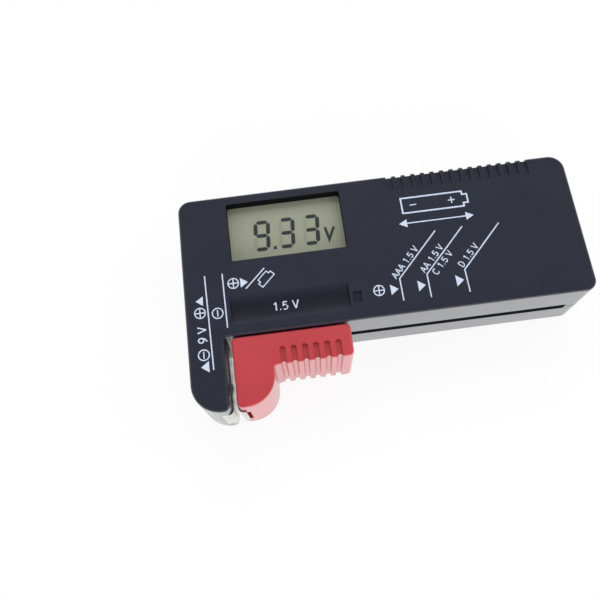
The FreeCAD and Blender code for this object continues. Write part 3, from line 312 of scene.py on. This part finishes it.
class Nodes:
    """The nodes of one tree."""

    def __init__(self, tree):
        self.tree = tree
        tree.nodes.clear()

    def node(self, kind, settings=None, sockets=None, out=0):
        """Adds a node: its settings first, then the values or links of its sockets. Gives its socket named by out."""
        made = self.tree.nodes.new(kind)
        for key, setting in (settings or {}).items():
            setattr(made, key, setting)
        for key, given in (sockets or {}).items():
            if isinstance(given, Value):
                self.tree.links.new(given.socket, made.inputs[key])
            else:
                made.inputs[key].default_value = given
        return Value(self, made.outputs[out]) if made.outputs else None

    def ease(self, value, low, high):
        """Nought below low and one above high, with a smooth rise between."""
        settings = {"interpolation_type": "SMOOTHSTEP"}
        return self.node("ShaderNodeMapRange", settings, {"Value": value, "From Min": low, "From Max": high})


class Finish(Nodes):
    """One material's nodes. Lengths in its patterns are millimetres."""

    def __init__(self, name):
        self.material = bpy.data.materials.new(name)
        self.material.use_nodes = True
        super().__init__(self.material.node_tree)

    def place(self, stretch=(1, 1, 1)):
        """The piece's own coordinates in millimetres, each multiplied by its stretch."""
        coordinates = self.node("ShaderNodeTexCoord", out="Object")
        scale = tuple(share / MM for share in stretch)
        return self.node("ShaderNodeVectorMath", {"operation": "MULTIPLY"}, {0: coordinates, 1: scale})

    def axis(self, name):
        """One coordinate in millimetres."""
        return self.node("ShaderNodeSeparateXYZ", sockets={0: self.place()}, out=name)

    def within(self, name, low, high):
        """One where a coordinate lies between two places in metres, and nought elsewhere."""
        along = self.axis(name)
        return (along > low / MM) * (along < high / MM)

    def noise(self, per_mm, stretch=(1, 1, 1), detail=3.0):
        """Cloudy noise about 0.5, with so many clouds to the millimetre."""
        sockets = {"Vector": self.place(stretch), "Scale": per_mm, "Detail": detail}
        return self.node("ShaderNodeTexNoise", sockets=sockets)

    def cells(self, per_mm):
        """Distance to the nearest of scattered points."""
        return self.node("ShaderNodeTexVoronoi", sockets={"Vector": self.place(), "Scale": per_mm}, out="Distance")

    def waves(self, value, per_mm):
        """A sine wave of so many crests to the millimetre, from nought to one."""
        angle = value * (2 * math.pi * per_mm)
        return angle.math("SINE", angle) * 0.5 + 0.5

    def mix(self, share, first, second):
        """A colour between two others."""
        sockets = {0: share, 6: opaque(first), 7: opaque(second)}
        return self.node("ShaderNodeMix", {"data_type": "RGBA"}, sockets, out=2)

    def bump(self, height, depth):
        """The surface's normal over a height of nought to one and so many millimetres deep."""
        return self.node("ShaderNodeBump", sockets={"Height": height, "Distance": depth * MM, "Strength": 1.0})

    def surface(self, colour, roughness, normal=None, **constants):
        """The shader and the output. Constants go to the shader's own sockets, such as Coat_Weight."""
        sockets = {"Base Color": colour, "Roughness": roughness}
        if normal:
            sockets["Normal"] = normal
        sockets.update({name.replace("_", " "): number for name, number in constants.items()})
        shader = self.node("ShaderNodeBsdfPrincipled", sockets=sockets)
        self.node("ShaderNodeOutputMaterial", sockets={"Surface": shader})
        return self.material


def opaque(colour):
    """A colour with its fourth number, or a link as it is."""
    return colour if isinstance(colour, Value) else (*colour, 1.0)


def moulded(finish, dark, light, roughness, grain_depth, scuff):
    """Moulded plastic: two close tones in broad clouds, a fine spark-eroded grain, hairline scuffs and a little dust.
    Gives its colour, its roughness and its normal."""
    clouds = finish.noise(0.11, detail=2.0)
    grain = finish.noise(7.0, detail=2.0)
    hairs = finish.noise(0.9, stretch=(0.16, 4.0, 2.0), detail=4.0)
    scuffs = finish.ease(hairs, 0.66, 0.74) * finish.ease(finish.noise(0.05), 0.45, 0.65)
    specks = (finish.cells(0.55) < 0.055) * finish.ease(finish.noise(0.09), 0.5, 0.6)
    colour = finish.mix(clouds, dark, light)
    colour = finish.mix(scuffs * 0.3, colour, scuff)
    colour = finish.mix(specks * 0.4, colour, scuff)
    shine = roughness + (clouds - 0.5) * 0.10 + (grain - 0.5) * 0.12 + scuffs * 0.08
    return colour, shine, finish.bump(grain, grain_depth)


def window_walls(finish):
    """One on the walls round the window, and nought elsewhere."""
    plan = finish.within("X", glass_low[0], glass_high[0]) * finish.within("Y", glass_low[1], glass_high[1])
    return plan * finish.within("Z", GLASS_TOP - 2 * MM, CASE_TOP - EDGE_DEPTH * MM)


def hollow_shade_depth(finish):
    """Nought at the case's top, rising to one at the bottom of the trough and of the small square beside it."""
    # This rise is used as painted shade that deepens into these hollows.
    plan = finish.within("X", LEFT_END + TROUGH_LEFT * MM, LEFT_END + SQUARE_RIGHT * MM)
    plan = plan * finish.within("Y", FRONT_WALL + TROUGH_FRONT * MM, FRONT_WALL + TROUGH_BACK * MM)
    top = CASE_TOP / MM
    return plan * finish.ease(finish.axis("Z"), top - 0.1, top - TROUGH_DEPTH)


def front_polish(finish):
    """One on the front wall, along which the jaw and the cells rub, fading at the top edge and the left end."""
    wall = FRONT_WALL / MM
    top = CASE_TOP / MM
    left = LEFT_END / MM
    front = finish.ease(finish.axis("Y"), wall + 2.5, wall + 0.2)
    below = finish.ease(finish.axis("Z"), top - 0.3, top - 1.2)
    inward = finish.ease(finish.axis("X"), left + 0.5, left + 4.0)
    return front * below * inward


def case_black():
    """Satin black plastic of the two shells, with a blue cast. The front wall is polished, the window's walls are
    left dull from the tool and painted near black as shade, and the trough and the small square beside it carry
    painted shade that deepens with their depth."""
    finish = Finish("case_black")
    colour, shine, normal = moulded(finish, (0.0175, 0.0205, 0.0315), (0.0215, 0.0250, 0.0385), 0.36, 0.006,
                                    (0.06, 0.063, 0.07))
    window = window_walls(finish)
    # Painted shade: the window's walls go near black and the hollows darken with their depth, as shade in these
    # recesses.
    colour = finish.mix(window + hollow_shade_depth(finish) * 0.5, colour, (0.002, 0.002, 0.003))
    gloss = (0.12 + front_polish(finish) * 0.88) * (1.0 - window)
    return finish.surface(colour, shine + window * 0.6, normal, IOR=1.5, Coat_Weight=gloss, Coat_Roughness=0.20,
                          Coat_IOR=2.0)


def slide_red():
    """Coral red plastic of the sliding jaw, with a soft gloss."""
    finish = Finish("slide_red")
    colour, shine, normal = moulded(finish, (0.48, 0.028, 0.038), (0.57, 0.042, 0.054), 0.42, 0.004,
                                    (0.66, 0.13, 0.13))
    return finish.surface(colour, shine, normal, IOR=1.5, Specular_IOR_Level=1.0, Coat_Weight=1.0,
                          Coat_Roughness=0.26, Coat_IOR=2.0)


def frame_plastic():
    """Grey plastic of the display's frame."""
    finish = Finish("frame_plastic")
    return finish.surface(*moulded(finish, (0.16, 0.16, 0.165), (0.22, 0.22, 0.225), 0.5, 0.006, (0.34, 0.34, 0.34)))


def lead_cover(name, dark, light):
    """Soft vinyl round a lead, with a cloudy bloom and a few rubbed spots."""
    finish = Finish(name)
    rubbed = tuple(0.3 + part * 0.5 for part in light)
    return finish.surface(*moulded(finish, dark, light, 0.42, 0.003, rubbed), IOR=1.48)


def plated(name, dark, light, roughness, stretch, spots):
    """Plated metal: fine brushing along one axis, cloudy tarnish and small dull spots."""
    finish = Finish(name)
    brushing = finish.noise(5.0, stretch=stretch, detail=3.0)
    tarnish = finish.ease(finish.noise(0.35, detail=4.0), 0.42, 0.72)
    dull = finish.ease(finish.noise(1.6), 0.62, 0.72)
    colour = finish.mix(brushing, light, tuple(part * 0.86 for part in light))
    colour = finish.mix(tarnish * spots, colour, dark)
    shine = roughness + (brushing - 0.5) * 0.16 + tarnish * 0.12 + dull * 0.06
    return finish.surface(colour, shine, finish.bump(brushing, 0.0025), Metallic=1.0)


def nickel_strip():
    """Nickel plated spring strip of the contacts, brushed across its length."""
    return plated("nickel_strip", (0.40, 0.36, 0.29), (0.78, 0.76, 0.71), 0.20, (1.0, 0.12, 2.5), 0.45)


def screw_steel():
    """Zinc plated steel of the screws and the rivet, with turning marks."""
    return plated("screw_steel", (0.33, 0.33, 0.35), (0.66, 0.67, 0.70), 0.30, (1.5, 1.5, 0.3), 0.5)


def spring_steel():
    """Drawn spring wire, with lines along the draw."""
    return plated("spring_steel", (0.25, 0.25, 0.26), (0.56, 0.56, 0.57), 0.28, (2.0, 0.5, 0.5), 0.5)


def wiper_bronze():
    """Rolled phosphor bronze of the wiper."""
    return plated("wiper_bronze", (0.30, 0.15, 0.07), (0.72, 0.43, 0.24), 0.26, (0.12, 2.0, 1.0), 0.5)


def capacitor_can():
    """Drawn aluminium can."""
    return plated("capacitor_can", (0.45, 0.46, 0.48), (0.80, 0.81, 0.83), 0.32, (1.0, 1.0, 0.1), 0.35)


def display_glass():
    """Display glass under its polarising film: an olive grey with a faint satin grain, a glossy front
    and painted light that makes it paler towards the front.
    """
    finish = Finish("display_glass")
    clouds = finish.noise(0.07, detail=2.0)
    grain = finish.noise(11.0, detail=2.0)
    # Painted light: the glass is paler towards the front, standing in for the shade the window's back wall casts on
    # its back part.
    painted_front_light = finish.ease(finish.axis("Y"), 30.0, 4.0)
    colour = finish.mix(clouds, (0.272, 0.288, 0.211), (0.308, 0.322, 0.243))
    colour = finish.mix(painted_front_light * 0.3, colour, (0.370, 0.382, 0.297))
    shine = 0.30 + (grain - 0.5) * 0.16 + clouds * 0.05
    return finish.surface(colour, shine, finish.bump(grain, 0.0015), IOR=1.5, Coat_Weight=0.4, Coat_Roughness=0.08)


def display_film():
    """Silvery reflector film behind the display, with a crinkled sheen."""
    finish = Finish("display_film")
    crinkle = finish.noise(1.4, detail=5.0)
    colour = finish.mix(crinkle, (0.52, 0.53, 0.50), (0.70, 0.71, 0.68))
    return finish.surface(colour, 0.34 + crinkle * 0.2, finish.bump(crinkle, 0.01), Metallic=0.85)


def connector_rubber():
    """Striped rubber connector: thin black conducting layers between pale insulating ones."""
    finish = Finish("connector_rubber")
    layers = finish.ease(finish.waves(finish.axis("X"), 2.5), 0.4, 0.6)
    bloom = finish.noise(2.0)
    colour = finish.mix(layers, (0.03, 0.03, 0.032), (0.62, 0.58, 0.52))
    return finish.surface(colour, 0.62 + bloom * 0.2, finish.bump(layers, 0.01))


def board_laminate():
    """Glass cloth laminate under green resist: a woven base, darker copper runs and a satin varnish."""
    finish = Finish("board_laminate")
    weave = finish.waves(finish.axis("X"), 1.3) * finish.waves(finish.axis("Y"), 1.3)
    runs = finish.ease(finish.waves(finish.axis("Y") + finish.noise(0.12) * 4.0, 0.4), 0.62, 0.68)
    pads = finish.cells(0.22) < 0.22
    colour = finish.mix(weave * 0.35, (0.018, 0.115, 0.042), (0.030, 0.16, 0.06))
    colour = finish.mix(runs * 0.6, colour, (0.045, 0.20, 0.055))
    colour = finish.mix(pads * 0.8, colour, (0.55, 0.53, 0.48))
    height = runs * 0.6 + weave * 0.2
    return finish.surface(colour, 0.34 + weave * 0.12, finish.bump(height, 0.03), IOR=1.5)


def chip_epoxy():
    """Black epoxy with a cured skin: slow ripples and pin holes."""
    finish = Finish("chip_epoxy")
    ripple = finish.noise(0.5, detail=4.0)
    pins = finish.ease(finish.cells(0.8), 0.02, 0.09)
    colour = finish.mix(ripple, (0.010, 0.010, 0.011), (0.024, 0.024, 0.026))
    return finish.surface(colour, 0.30 + ripple * 0.25, finish.bump(ripple * 0.6 + pins * 0.4, 0.05), IOR=1.55)


def coil_ferrite():
    """Pressed and fired ferrite: a dull dark grey with pale crystal specks."""
    finish = Finish("coil_ferrite")
    grain = finish.noise(6.0, detail=5.0)
    specks = finish.ease(finish.noise(9.0), 0.64, 0.72)
    colour = finish.mix(grain, (0.030, 0.030, 0.032), (0.060, 0.060, 0.064))
    colour = finish.mix(specks * 0.5, colour, (0.20, 0.20, 0.21))
    return finish.surface(colour, 0.62 + grain * 0.2, finish.bump(grain, 0.02))


def coil_copper():
    """Enamelled copper wire, wound in even turns one above another, painted dark between them as shade."""
    finish = Finish("coil_copper")
    turns = finish.waves(finish.axis("Z"), 5.0)
    tint = finish.noise(0.8)
    # Painted shade and highlight: the colour goes dark between the turns and pale along each turn's crown.
    colour = finish.mix(turns, (0.20, 0.055, 0.018), (0.66, 0.26, 0.10))
    colour = finish.mix(tint * 0.4, colour, (0.52, 0.18, 0.06))
    return finish.surface(colour, 0.26 + tint * 0.12, finish.bump(turns, 0.08), Metallic=0.8, Coat_Weight=0.5)


def resistor_body():
    """Lacquered resistor body with painted rings."""
    finish = Finish("resistor_body")
    rings = finish.ease(finish.waves(finish.axis("X"), 0.55), 0.78, 0.84)
    lacquer = finish.noise(1.2, detail=3.0)
    colour = finish.mix(lacquer, (0.46, 0.31, 0.17), (0.58, 0.42, 0.25))
    colour = finish.mix(rings, colour, (0.20, 0.035, 0.02))
    return finish.surface(colour, 0.36 + lacquer * 0.12, finish.bump(lacquer + rings * 0.4, 0.02), IOR=1.5)


def chip_ceramic():
    """Chip resistors: a black glazed top with bright tinned ends."""
    finish = Finish("chip_ceramic")
    ends = finish.ease(finish.waves(finish.axis("Y"), 0.8), 0.25, 0.3)
    glaze = finish.noise(4.0)
    colour = finish.mix(ends, (0.60, 0.60, 0.58), (0.022, 0.022, 0.024))
    return finish.surface(colour, 0.28 + glaze * 0.2, finish.bump(glaze, 0.01))


def capacitor_ceramic():
    """Chip capacitors: fired tan ceramic with fine pores."""
    finish = Finish("capacitor_ceramic")
    pores = finish.noise(5.0, detail=4.0)
    tone = finish.noise(0.6)
    colour = finish.mix(tone, (0.36, 0.24, 0.13), (0.46, 0.32, 0.19))
    colour = finish.mix(finish.ease(pores, 0.6, 0.7) * 0.4, colour, (0.22, 0.14, 0.08))
    return finish.surface(colour, 0.48 + pores * 0.2, finish.bump(pores, 0.012))


def pad_ink():
    """Pale blue-white pad printing: a thin, slightly uneven film with pin holes."""
    finish = Finish("pad_ink")
    cover = finish.noise(1.1, detail=4.0)
    holes = finish.ease(finish.noise(7.0, detail=2.0), 0.66, 0.74)
    colour = finish.mix(cover, (0.50, 0.56, 0.70), (0.66, 0.72, 0.88))
    colour = finish.mix(holes * 0.5, colour, (0.20, 0.22, 0.27))
    return finish.surface(colour, 0.46 + cover * 0.16, finish.bump(cover, 0.002))


def segment_dark():
    """A driven display segment: near black, with the film's grain over it."""
    finish = Finish("segment_dark")
    grain = finish.noise(6.0, detail=2.0)
    colour = finish.mix(grain, (0.026, 0.028, 0.029), (0.040, 0.042, 0.042))
    return finish.surface(colour, 0.28 + grain * 0.14, IOR=1.5, Coat_Weight=0.4, Coat_Roughness=0.08)


def segment_faint():
    """An idle display segment: hardly darker than the film round it."""
    finish = Finish("segment_faint")
    grain = finish.noise(6.0, detail=2.0)
    colour = finish.mix(grain, (0.250, 0.265, 0.195), (0.277, 0.291, 0.220))
    return finish.surface(colour, 0.28 + grain * 0.14, IOR=1.5, Coat_Weight=0.4, Coat_Roughness=0.08)


def dress_built_pieces():
    """Gives every built piece the finish of its slot, and gives back the finishes by name."""
    finishes = {make.__name__: make() for make in (
        case_black, slide_red, nickel_strip, screw_steel, spring_steel, wiper_bronze, display_glass, display_film,
        connector_rubber, frame_plastic, board_laminate, chip_epoxy, coil_ferrite, coil_copper, capacitor_can,
        resistor_body, chip_ceramic, capacitor_ceramic,
    )}
    finishes["lead_red"] = lead_cover("lead_red", (0.34, 0.018, 0.016), (0.46, 0.03, 0.026))
    finishes["lead_black"] = lead_cover("lead_black", (0.014, 0.014, 0.015), (0.03, 0.03, 0.032))
    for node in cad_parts.values():
        for place in node.material_slots:
            place.material = finishes[place.material.name.split(".")[0]]
    return finishes


# Print on the case


def beside(kink, end, text, along, above):
    """A label parallel to a slanting leader, from so far past its kink, above or below it."""
    slant = unit(np.array([np.subtract(end, kink)]))[0]
    aside = np.array((-slant[1], slant[0]))
    start = np.array(kink) + slant * along
    start = start + aside * (LETTER_GAP if above else -LETTER_GAP - LETTER_HEIGHT)
    return lettering(text, start, math.degrees(math.atan2(slant[1], slant[0])))


def print_round_cells(ink):
    """Leaders, arrowheads and labels that show where the jaw stands for each round cell."""
    small = ((58.27, 3.48), (58.21, 9.79), (70.21, 22.41))
    middle = ((65.67, 3.47), (65.66, 10.05), (77.73, 22.65))
    large = ((76.08, 3.60), (75.92, 10.02), (87.80, 22.31))
    leaders = [line(*points) for points in (small, middle, large)]
    heads = [
        arrow((57.42, 6.93), (55.32, 8.39), (55.30, 5.42)),
        arrow((64.75, 7.05), (62.67, 8.55), (62.82, 5.48)),
        arrow((75.14, 7.14), (73.00, 8.73), (73.07, 5.49)),
    ]
    printed("print_round_cells", leaders + heads + plus_sign((52.2, 7.15)), ink)
    labels = beside(*small[1:], "AAA 1.5 V", -0.6, True)
    labels += beside(*middle[1:], "AA 1.5 V", 0.0, True)
    labels += beside(*middle[1:], "C 1.5 V", 1.4, False)
    labels += beside(*large[1:], "D 1.5 V", 0.2, True)
    printed("print_cell_sizes", labels, ink)


def print_nine_volt(ink):
    """Line, signs, arrowheads and label beside the nine volt contacts."""
    parts = [
        line((6.06, 17.59), (6.47, -8.70)),
        arrow((3.27, -7.67), (5.40, -6.12), (5.39, -9.20)),
        arrow((3.16, 10.52), (5.07, 11.81), (5.13, 9.12)),
    ]
    parts += lettering("9 V", (5.35, -1.2), 90, LABEL_HEIGHT)
    printed("print_nine_volt", parts + minus_sign((4.22, -4.43)) + plus_sign((4.07, 7.14)), ink)


def print_zero_line(ink):
    """Line and sign where the foot's contact stands."""
    printed("print_zero_line", [line((10.87, 17.64), (11.03, 2.23))] + minus_sign((8.76, 6.53)), ink)


def print_button_cell(ink):
    """Sign, arrowhead, slash and a small picture of a button cell."""
    slash = line((16.89, 12.45), (22.39, 17.75))
    head = arrow((17.60, 14.35), (15.55, 15.75), (15.60, 12.95))
    printed("print_button_cell", [slash, head] + plus_sign((13.64, 14.43)) + button_cell((22.6, 14.6)), ink)


def button_cell(centre):
    """Side view of a button cell: a wide low can with a narrower cap, as one closed line at the slash's slant."""
    wide, narrow, low, high = 2.4, 1.7, 0.9, 0.55
    outline = np.array([
        (-wide, -low), (wide, -low), (wide, high), (narrow, high), (narrow, low + high), (-narrow, low + high),
        (-narrow, high), (-wide, high),
    ])
    turn = math.radians(44)
    slant = np.array(((math.cos(turn), math.sin(turn)), (-math.sin(turn), math.cos(turn))))
    return [strip(outline @ slant + centre, LINE * 0.85, closed=True)]


def print_trough_label(ink):
    """Voltage in the trough, laid on its round floor."""
    parts = lettering("1.5 V", (23.6, 5.5), height=LABEL_HEIGHT)
    printed("print_trough_label", parts, ink, surface=trough_floor)


def print_cell_picture(ink):
    """A plain picture of a round cell with its signs, over an arrow that shows the jaw's travel."""
    left, right, foot, top, nub = 62.4, 79.6, 28.7, 33.3, 1.3
    middle = (foot + top) / 2
    minus = (left + 3.2, middle)
    plus = (right - 3.2, middle)
    can = [
        (left, foot), (right, foot), (right, middle - nub), (right + nub, middle - nub),
        (right + nub, middle + nub), (right, middle + nub), (right, top), (left, top),
    ]
    start, stop, level, reach, flare = 63.0, 79.4, 25.6, 2.2, 1.2
    parts = [
        strip(can, LINE * 1.3, closed=True),
        bar(minus, 0),
        bar(plus, 0),
        bar(plus, 90),
        line((start, level), (stop, level)),
        arrow((start - reach, level), (start, level + flare), (start, level - flare)),
        arrow((stop + reach, level), (stop, level - flare), (stop, level + flare)),
    ]
    printed("print_cell_picture", parts, ink)


# Display


SEGMENT_ENDS = {
    "top": ((0, 2), (1, 2)), "middle": ((0, 1), (1, 1)), "foot": ((0, 0), (1, 0)),
    "upper_left": ((0, 1), (0, 2)), "upper_right": ((1, 1), (1, 2)),
    "lower_left": ((0, 0), (0, 1)), "lower_right": ((1, 0), (1, 1)),
}
NINE = ("top", "middle", "foot", "upper_left", "upper_right", "lower_right")
THREE = ("top", "middle", "foot", "upper_right", "lower_right")


def segment(digit, name):
    """One display segment: a strip between two corners of its digit, narrowed at both ends, in a leaning figure."""
    across = DIGIT_WIDTH - SEGMENT_WIDTH
    half = (DIGIT_HEIGHT - SEGMENT_WIDTH) / 2
    ends = np.array(SEGMENT_ENDS[name], float) * (across, half)
    along = unit(ends[1:] - ends[:1])[0]
    start = ends[0] + along * SEGMENT_GAP
    stop = ends[1] - along * SEGMENT_GAP
    path = np.array((start, start + along * SEGMENT_TAPER, stop - along * SEGMENT_TAPER, stop))
    path = path + SEGMENT_WIDTH / 2
    path[:, 0] += path[:, 1] * DIGIT_LEAN + DIGIT_LEFT + digit * DIGIT_PITCH
    path[:, 1] += DIGIT_FOOT
    width = np.array((0.3, 1.0, 1.0, 0.3)) * SEGMENT_WIDTH
    return strip(path, width)


def display_figures():
    """Driven and idle segments of three figures, the point and the unit's letter, on the glass."""
    shown = (NINE, THREE, THREE)
    lit = [segment(digit, name) for digit, names in enumerate(shown) for name in names]
    idle = [segment(digit, name) for digit, names in enumerate(shown) for name in SEGMENT_ENDS if name not in names]
    point = strip([(25.62, 24.62), (26.50, 24.62)], 0.9)
    letter = strip([(40.55, 28.95), (41.35, 25.15), (43.10, 28.80)], 0.75)
    printed("display_segments", lit + [point, letter], segment_dark(), GLASS_TOP)
    printed("display_idle_segments", idle, segment_faint(), GLASS_TOP)


# Return spring


def round_wire(path, way, reference):
    """A closed round tube: at each path point a circle of the wire's radius, across the path's way there and started
    at right angles to a reference direction, with a flat cap at each end."""
    side = unit(np.cross(way, reference))
    upward = np.cross(side, way)
    turn = np.linspace(0, 2 * math.pi, WIRE_SIDES, endpoint=False)
    circle = side[:, None] * np.cos(turn)[:, None] + upward[:, None] * np.sin(turn)[:, None]
    points = (path[:, None] + circle * SPRING_WIRE / 2).reshape(-1, 3)
    station = np.arange(len(path) - 1)[:, None] * WIRE_SIDES
    here = station + np.arange(WIRE_SIDES)
    turned = station + (np.arange(WIRE_SIDES) + 1) % WIRE_SIDES
    sides = np.stack((here, here + WIRE_SIDES, turned + WIRE_SIDES, turned), axis=2).reshape(-1, 4).tolist()
    first = list(range(WIRE_SIDES))
    last = [corner + (len(path) - 1) * WIRE_SIDES for corner in first[::-1]]
    return points, sides + [first, last]


def spring_loop(start, way, outward):
    """Most of a turn that leaves the coil's end along its way and bends outward, back round its peg."""
    across = outward - way * outward.dot(way)
    across = across / np.linalg.norm(across)
    turn = np.linspace(0, LOOP_SHARE * 2 * math.pi, LOOP_POINTS)[:, None]
    path = start + across * SPRING_RADIUS * (1 - np.cos(turn)) + way * SPRING_RADIUS * np.sin(turn)
    heading = across * np.sin(turn) + way * np.cos(turn)
    return round_wire(path, heading, np.array((0.0, 0.0, 1.0)))


def return_spring(finish):
    """Extension spring that stretches with the jaw: a helix along x, and a loop round the post and round the peg."""
    low, high = (np.array(corner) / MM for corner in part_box("return_spring"))
    reach = SPRING_RADIUS + SPRING_WIRE / 2
    left = low[0] + reach + SPRING_RADIUS
    right = high[0] - reach - SPRING_RADIUS
    level = low[2] + reach
    middle = (low[1] + high[1]) / 2
    turn = np.linspace(0, 2 * math.pi * SPRING_TURNS, SPRING_TURNS * TURN_POINTS + 1)
    along = left + (right - left) * turn / turn[-1]
    path = np.stack((along, middle + SPRING_RADIUS * np.sin(turn), level + SPRING_RADIUS * np.cos(turn)), axis=1)
    climb = np.full(len(turn), (right - left) / turn[-1])
    way = unit(np.stack((climb, SPRING_RADIUS * np.cos(turn), -SPRING_RADIUS * np.sin(turn)), axis=1))
    lengthwise = np.array((1.0, 0.0, 0.0))
    parts = [
        round_wire(path, way, lengthwise),
        spring_loop(path[0], -way[0], -lengthwise),
        spring_loop(path[-1], way[-1], lengthwise),
    ]
    coil = surface_piece("return_spring_coil", parts, finish, np.zeros(3))
    for face in coil.data.polygons:
        face.use_smooth = True
    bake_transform(coil)
    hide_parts("return_spring")


# Floor, light and camera


FLOOR_SIZE = 3.0
SKY_LIGHT = 0.11
HORIZON_LIGHT = 0.95
SKY_FADE = 0.4
SKY_LEAN = 0.5
SEEN_WHITE = 0.9
MIRRORED_WHITE = 0.9
CAMERA_PLACE = (-0.02602, -0.0622, 0.19427)
CAMERA_RIGHT = (0.9919, -0.12309, -0.03123)
CAMERA_FORWARD = (0.01082, 0.32699, -0.94497)
CAMERA_LENS = 40.53
SENSOR = 36.0


def floor():
    """White table top. To the camera and in reflections it is partly its own white, and it keeps the shadow."""
    finish = Finish("table_white")
    seen = finish.node("ShaderNodeLightPath", out="Is Camera Ray")
    mirrored = finish.node("ShaderNodeLightPath", out="Is Glossy Ray")
    through = finish.node("ShaderNodeLightPath", out="Is Transmission Ray")
    matt = finish.node("ShaderNodeBsdfDiffuse", sockets={"Color": (0.92, 0.92, 0.92, 1.0)})
    white = finish.node("ShaderNodeEmission", sockets={"Color": (1.0, 1.0, 1.0, 1.0), "Strength": 1.0})
    share = seen * SEEN_WHITE + mirrored * MIRRORED_WHITE + through
    table = finish.node("ShaderNodeMixShader", sockets={0: share, 1: matt, 2: white})
    finish.node("ShaderNodeOutputMaterial", sockets={"Surface": table})
    half = FLOOR_SIZE / 2
    level = case_floor()
    mesh = bpy.data.meshes.new("table_top")
    corners = [(-half, -half, level), (half, -half, level), (half, half, level), (-half, half, level)]
    mesh.from_pydata(corners, [], [(0, 1, 2, 3)])
    mesh.materials.append(finish.material)
    table_top = bpy.data.objects.new("table_top", mesh)
    bpy.context.collection.objects.link(table_top)


def case_floor():
    """Height of the case's underside."""
    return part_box("bottom_case")[0][2]


def soft_light(name, place, size, power):
    """A square soft lamp that looks at the object. Gloss shows the table and the sky in its place."""
    lamp = bpy.data.lights.new(name, "AREA")
    lamp.size = size
    lamp.energy = power
    holder = bpy.data.objects.new(name, lamp)
    holder.location = place
    holder.visible_glossy = False
    holder.rotation_euler = (-Vector(place)).to_track_quat("-Z", "Y").to_euler()
    bpy.context.collection.objects.link(holder)


def light():
    """Plain soft studio light: a dim sky, paler towards the horizon and the back and white to the camera, and a broad
    lamp on each side."""
    world = bpy.data.worlds.new("studio")
    world.use_nodes = True
    sky = Nodes(world.node_tree)
    heading = sky.node("ShaderNodeTexCoord", out="Generated")
    backward = sky.node("ShaderNodeSeparateXYZ", sockets={0: heading}, out="Y")
    upward = sky.node("ShaderNodeSeparateXYZ", sockets={0: heading}, out="Z")
    paleness = 1 - sky.ease(upward, 0.0, SKY_FADE)
    strength = (SKY_LIGHT + paleness * (HORIZON_LIGHT - SKY_LIGHT)) * (1 + backward * SKY_LEAN)
    glow = sky.node("ShaderNodeBackground", sockets={"Color": (0.95, 0.97, 1.0, 1.0), "Strength": strength})
    white = sky.node("ShaderNodeBackground", sockets={"Color": (1.0, 1.0, 1.0, 1.0), "Strength": 1.0})
    seen = sky.node("ShaderNodeLightPath", out="Is Camera Ray")
    shown = sky.node("ShaderNodeMixShader", sockets={0: seen, 1: glow, 2: white})
    sky.node("ShaderNodeOutputWorld", sockets={"Surface": shown})
    bpy.context.scene.world = world
    soft_light("left_lamp", (-0.80, 0.1, 0.5), 0.8, 3.5)
    soft_light("right_lamp", (0.80, 0.1, 0.6), 0.8, 5.0)
    soft_light("back_lamp", (0.05, 0.70, 0.75), 0.7, 5.5)
    soft_light("front_lamp", (0.05, -0.95, 0.32), 1.0, 11.0)


def camera():
    """Camera at the photograph's place, turned by its right and forward directions."""
    right = Vector(CAMERA_RIGHT).normalized()
    back = -Vector(CAMERA_FORWARD).normalized()
    upward = back.cross(right)
    lens = bpy.data.cameras.new("photo_camera")
    lens.lens = CAMERA_LENS
    lens.sensor_width = SENSOR
    lens.clip_start = 0.01
    holder = bpy.data.objects.new("photo_camera", lens)
    turn = Matrix((right, upward, back)).transposed().to_4x4()
    holder.matrix_world = Matrix.Translation(CAMERA_PLACE) @ turn
    bpy.context.collection.objects.link(holder)
    bpy.context.scene.camera = holder


def main():
    """Dresses the built pieces, adds the print and the display, and sets the stage."""
    finishes = dress_built_pieces()
    return_spring(finishes["spring_steel"])
    ink = pad_ink()
    print_round_cells(ink)
    print_nine_volt(ink)
    print_zero_line(ink)
    print_button_cell(ink)
    print_trough_label(ink)
    print_cell_picture(ink)
    display_figures()
    floor()
    light()
    camera()
    bpy.context.scene.view_settings.view_transform = "Standard"


main()
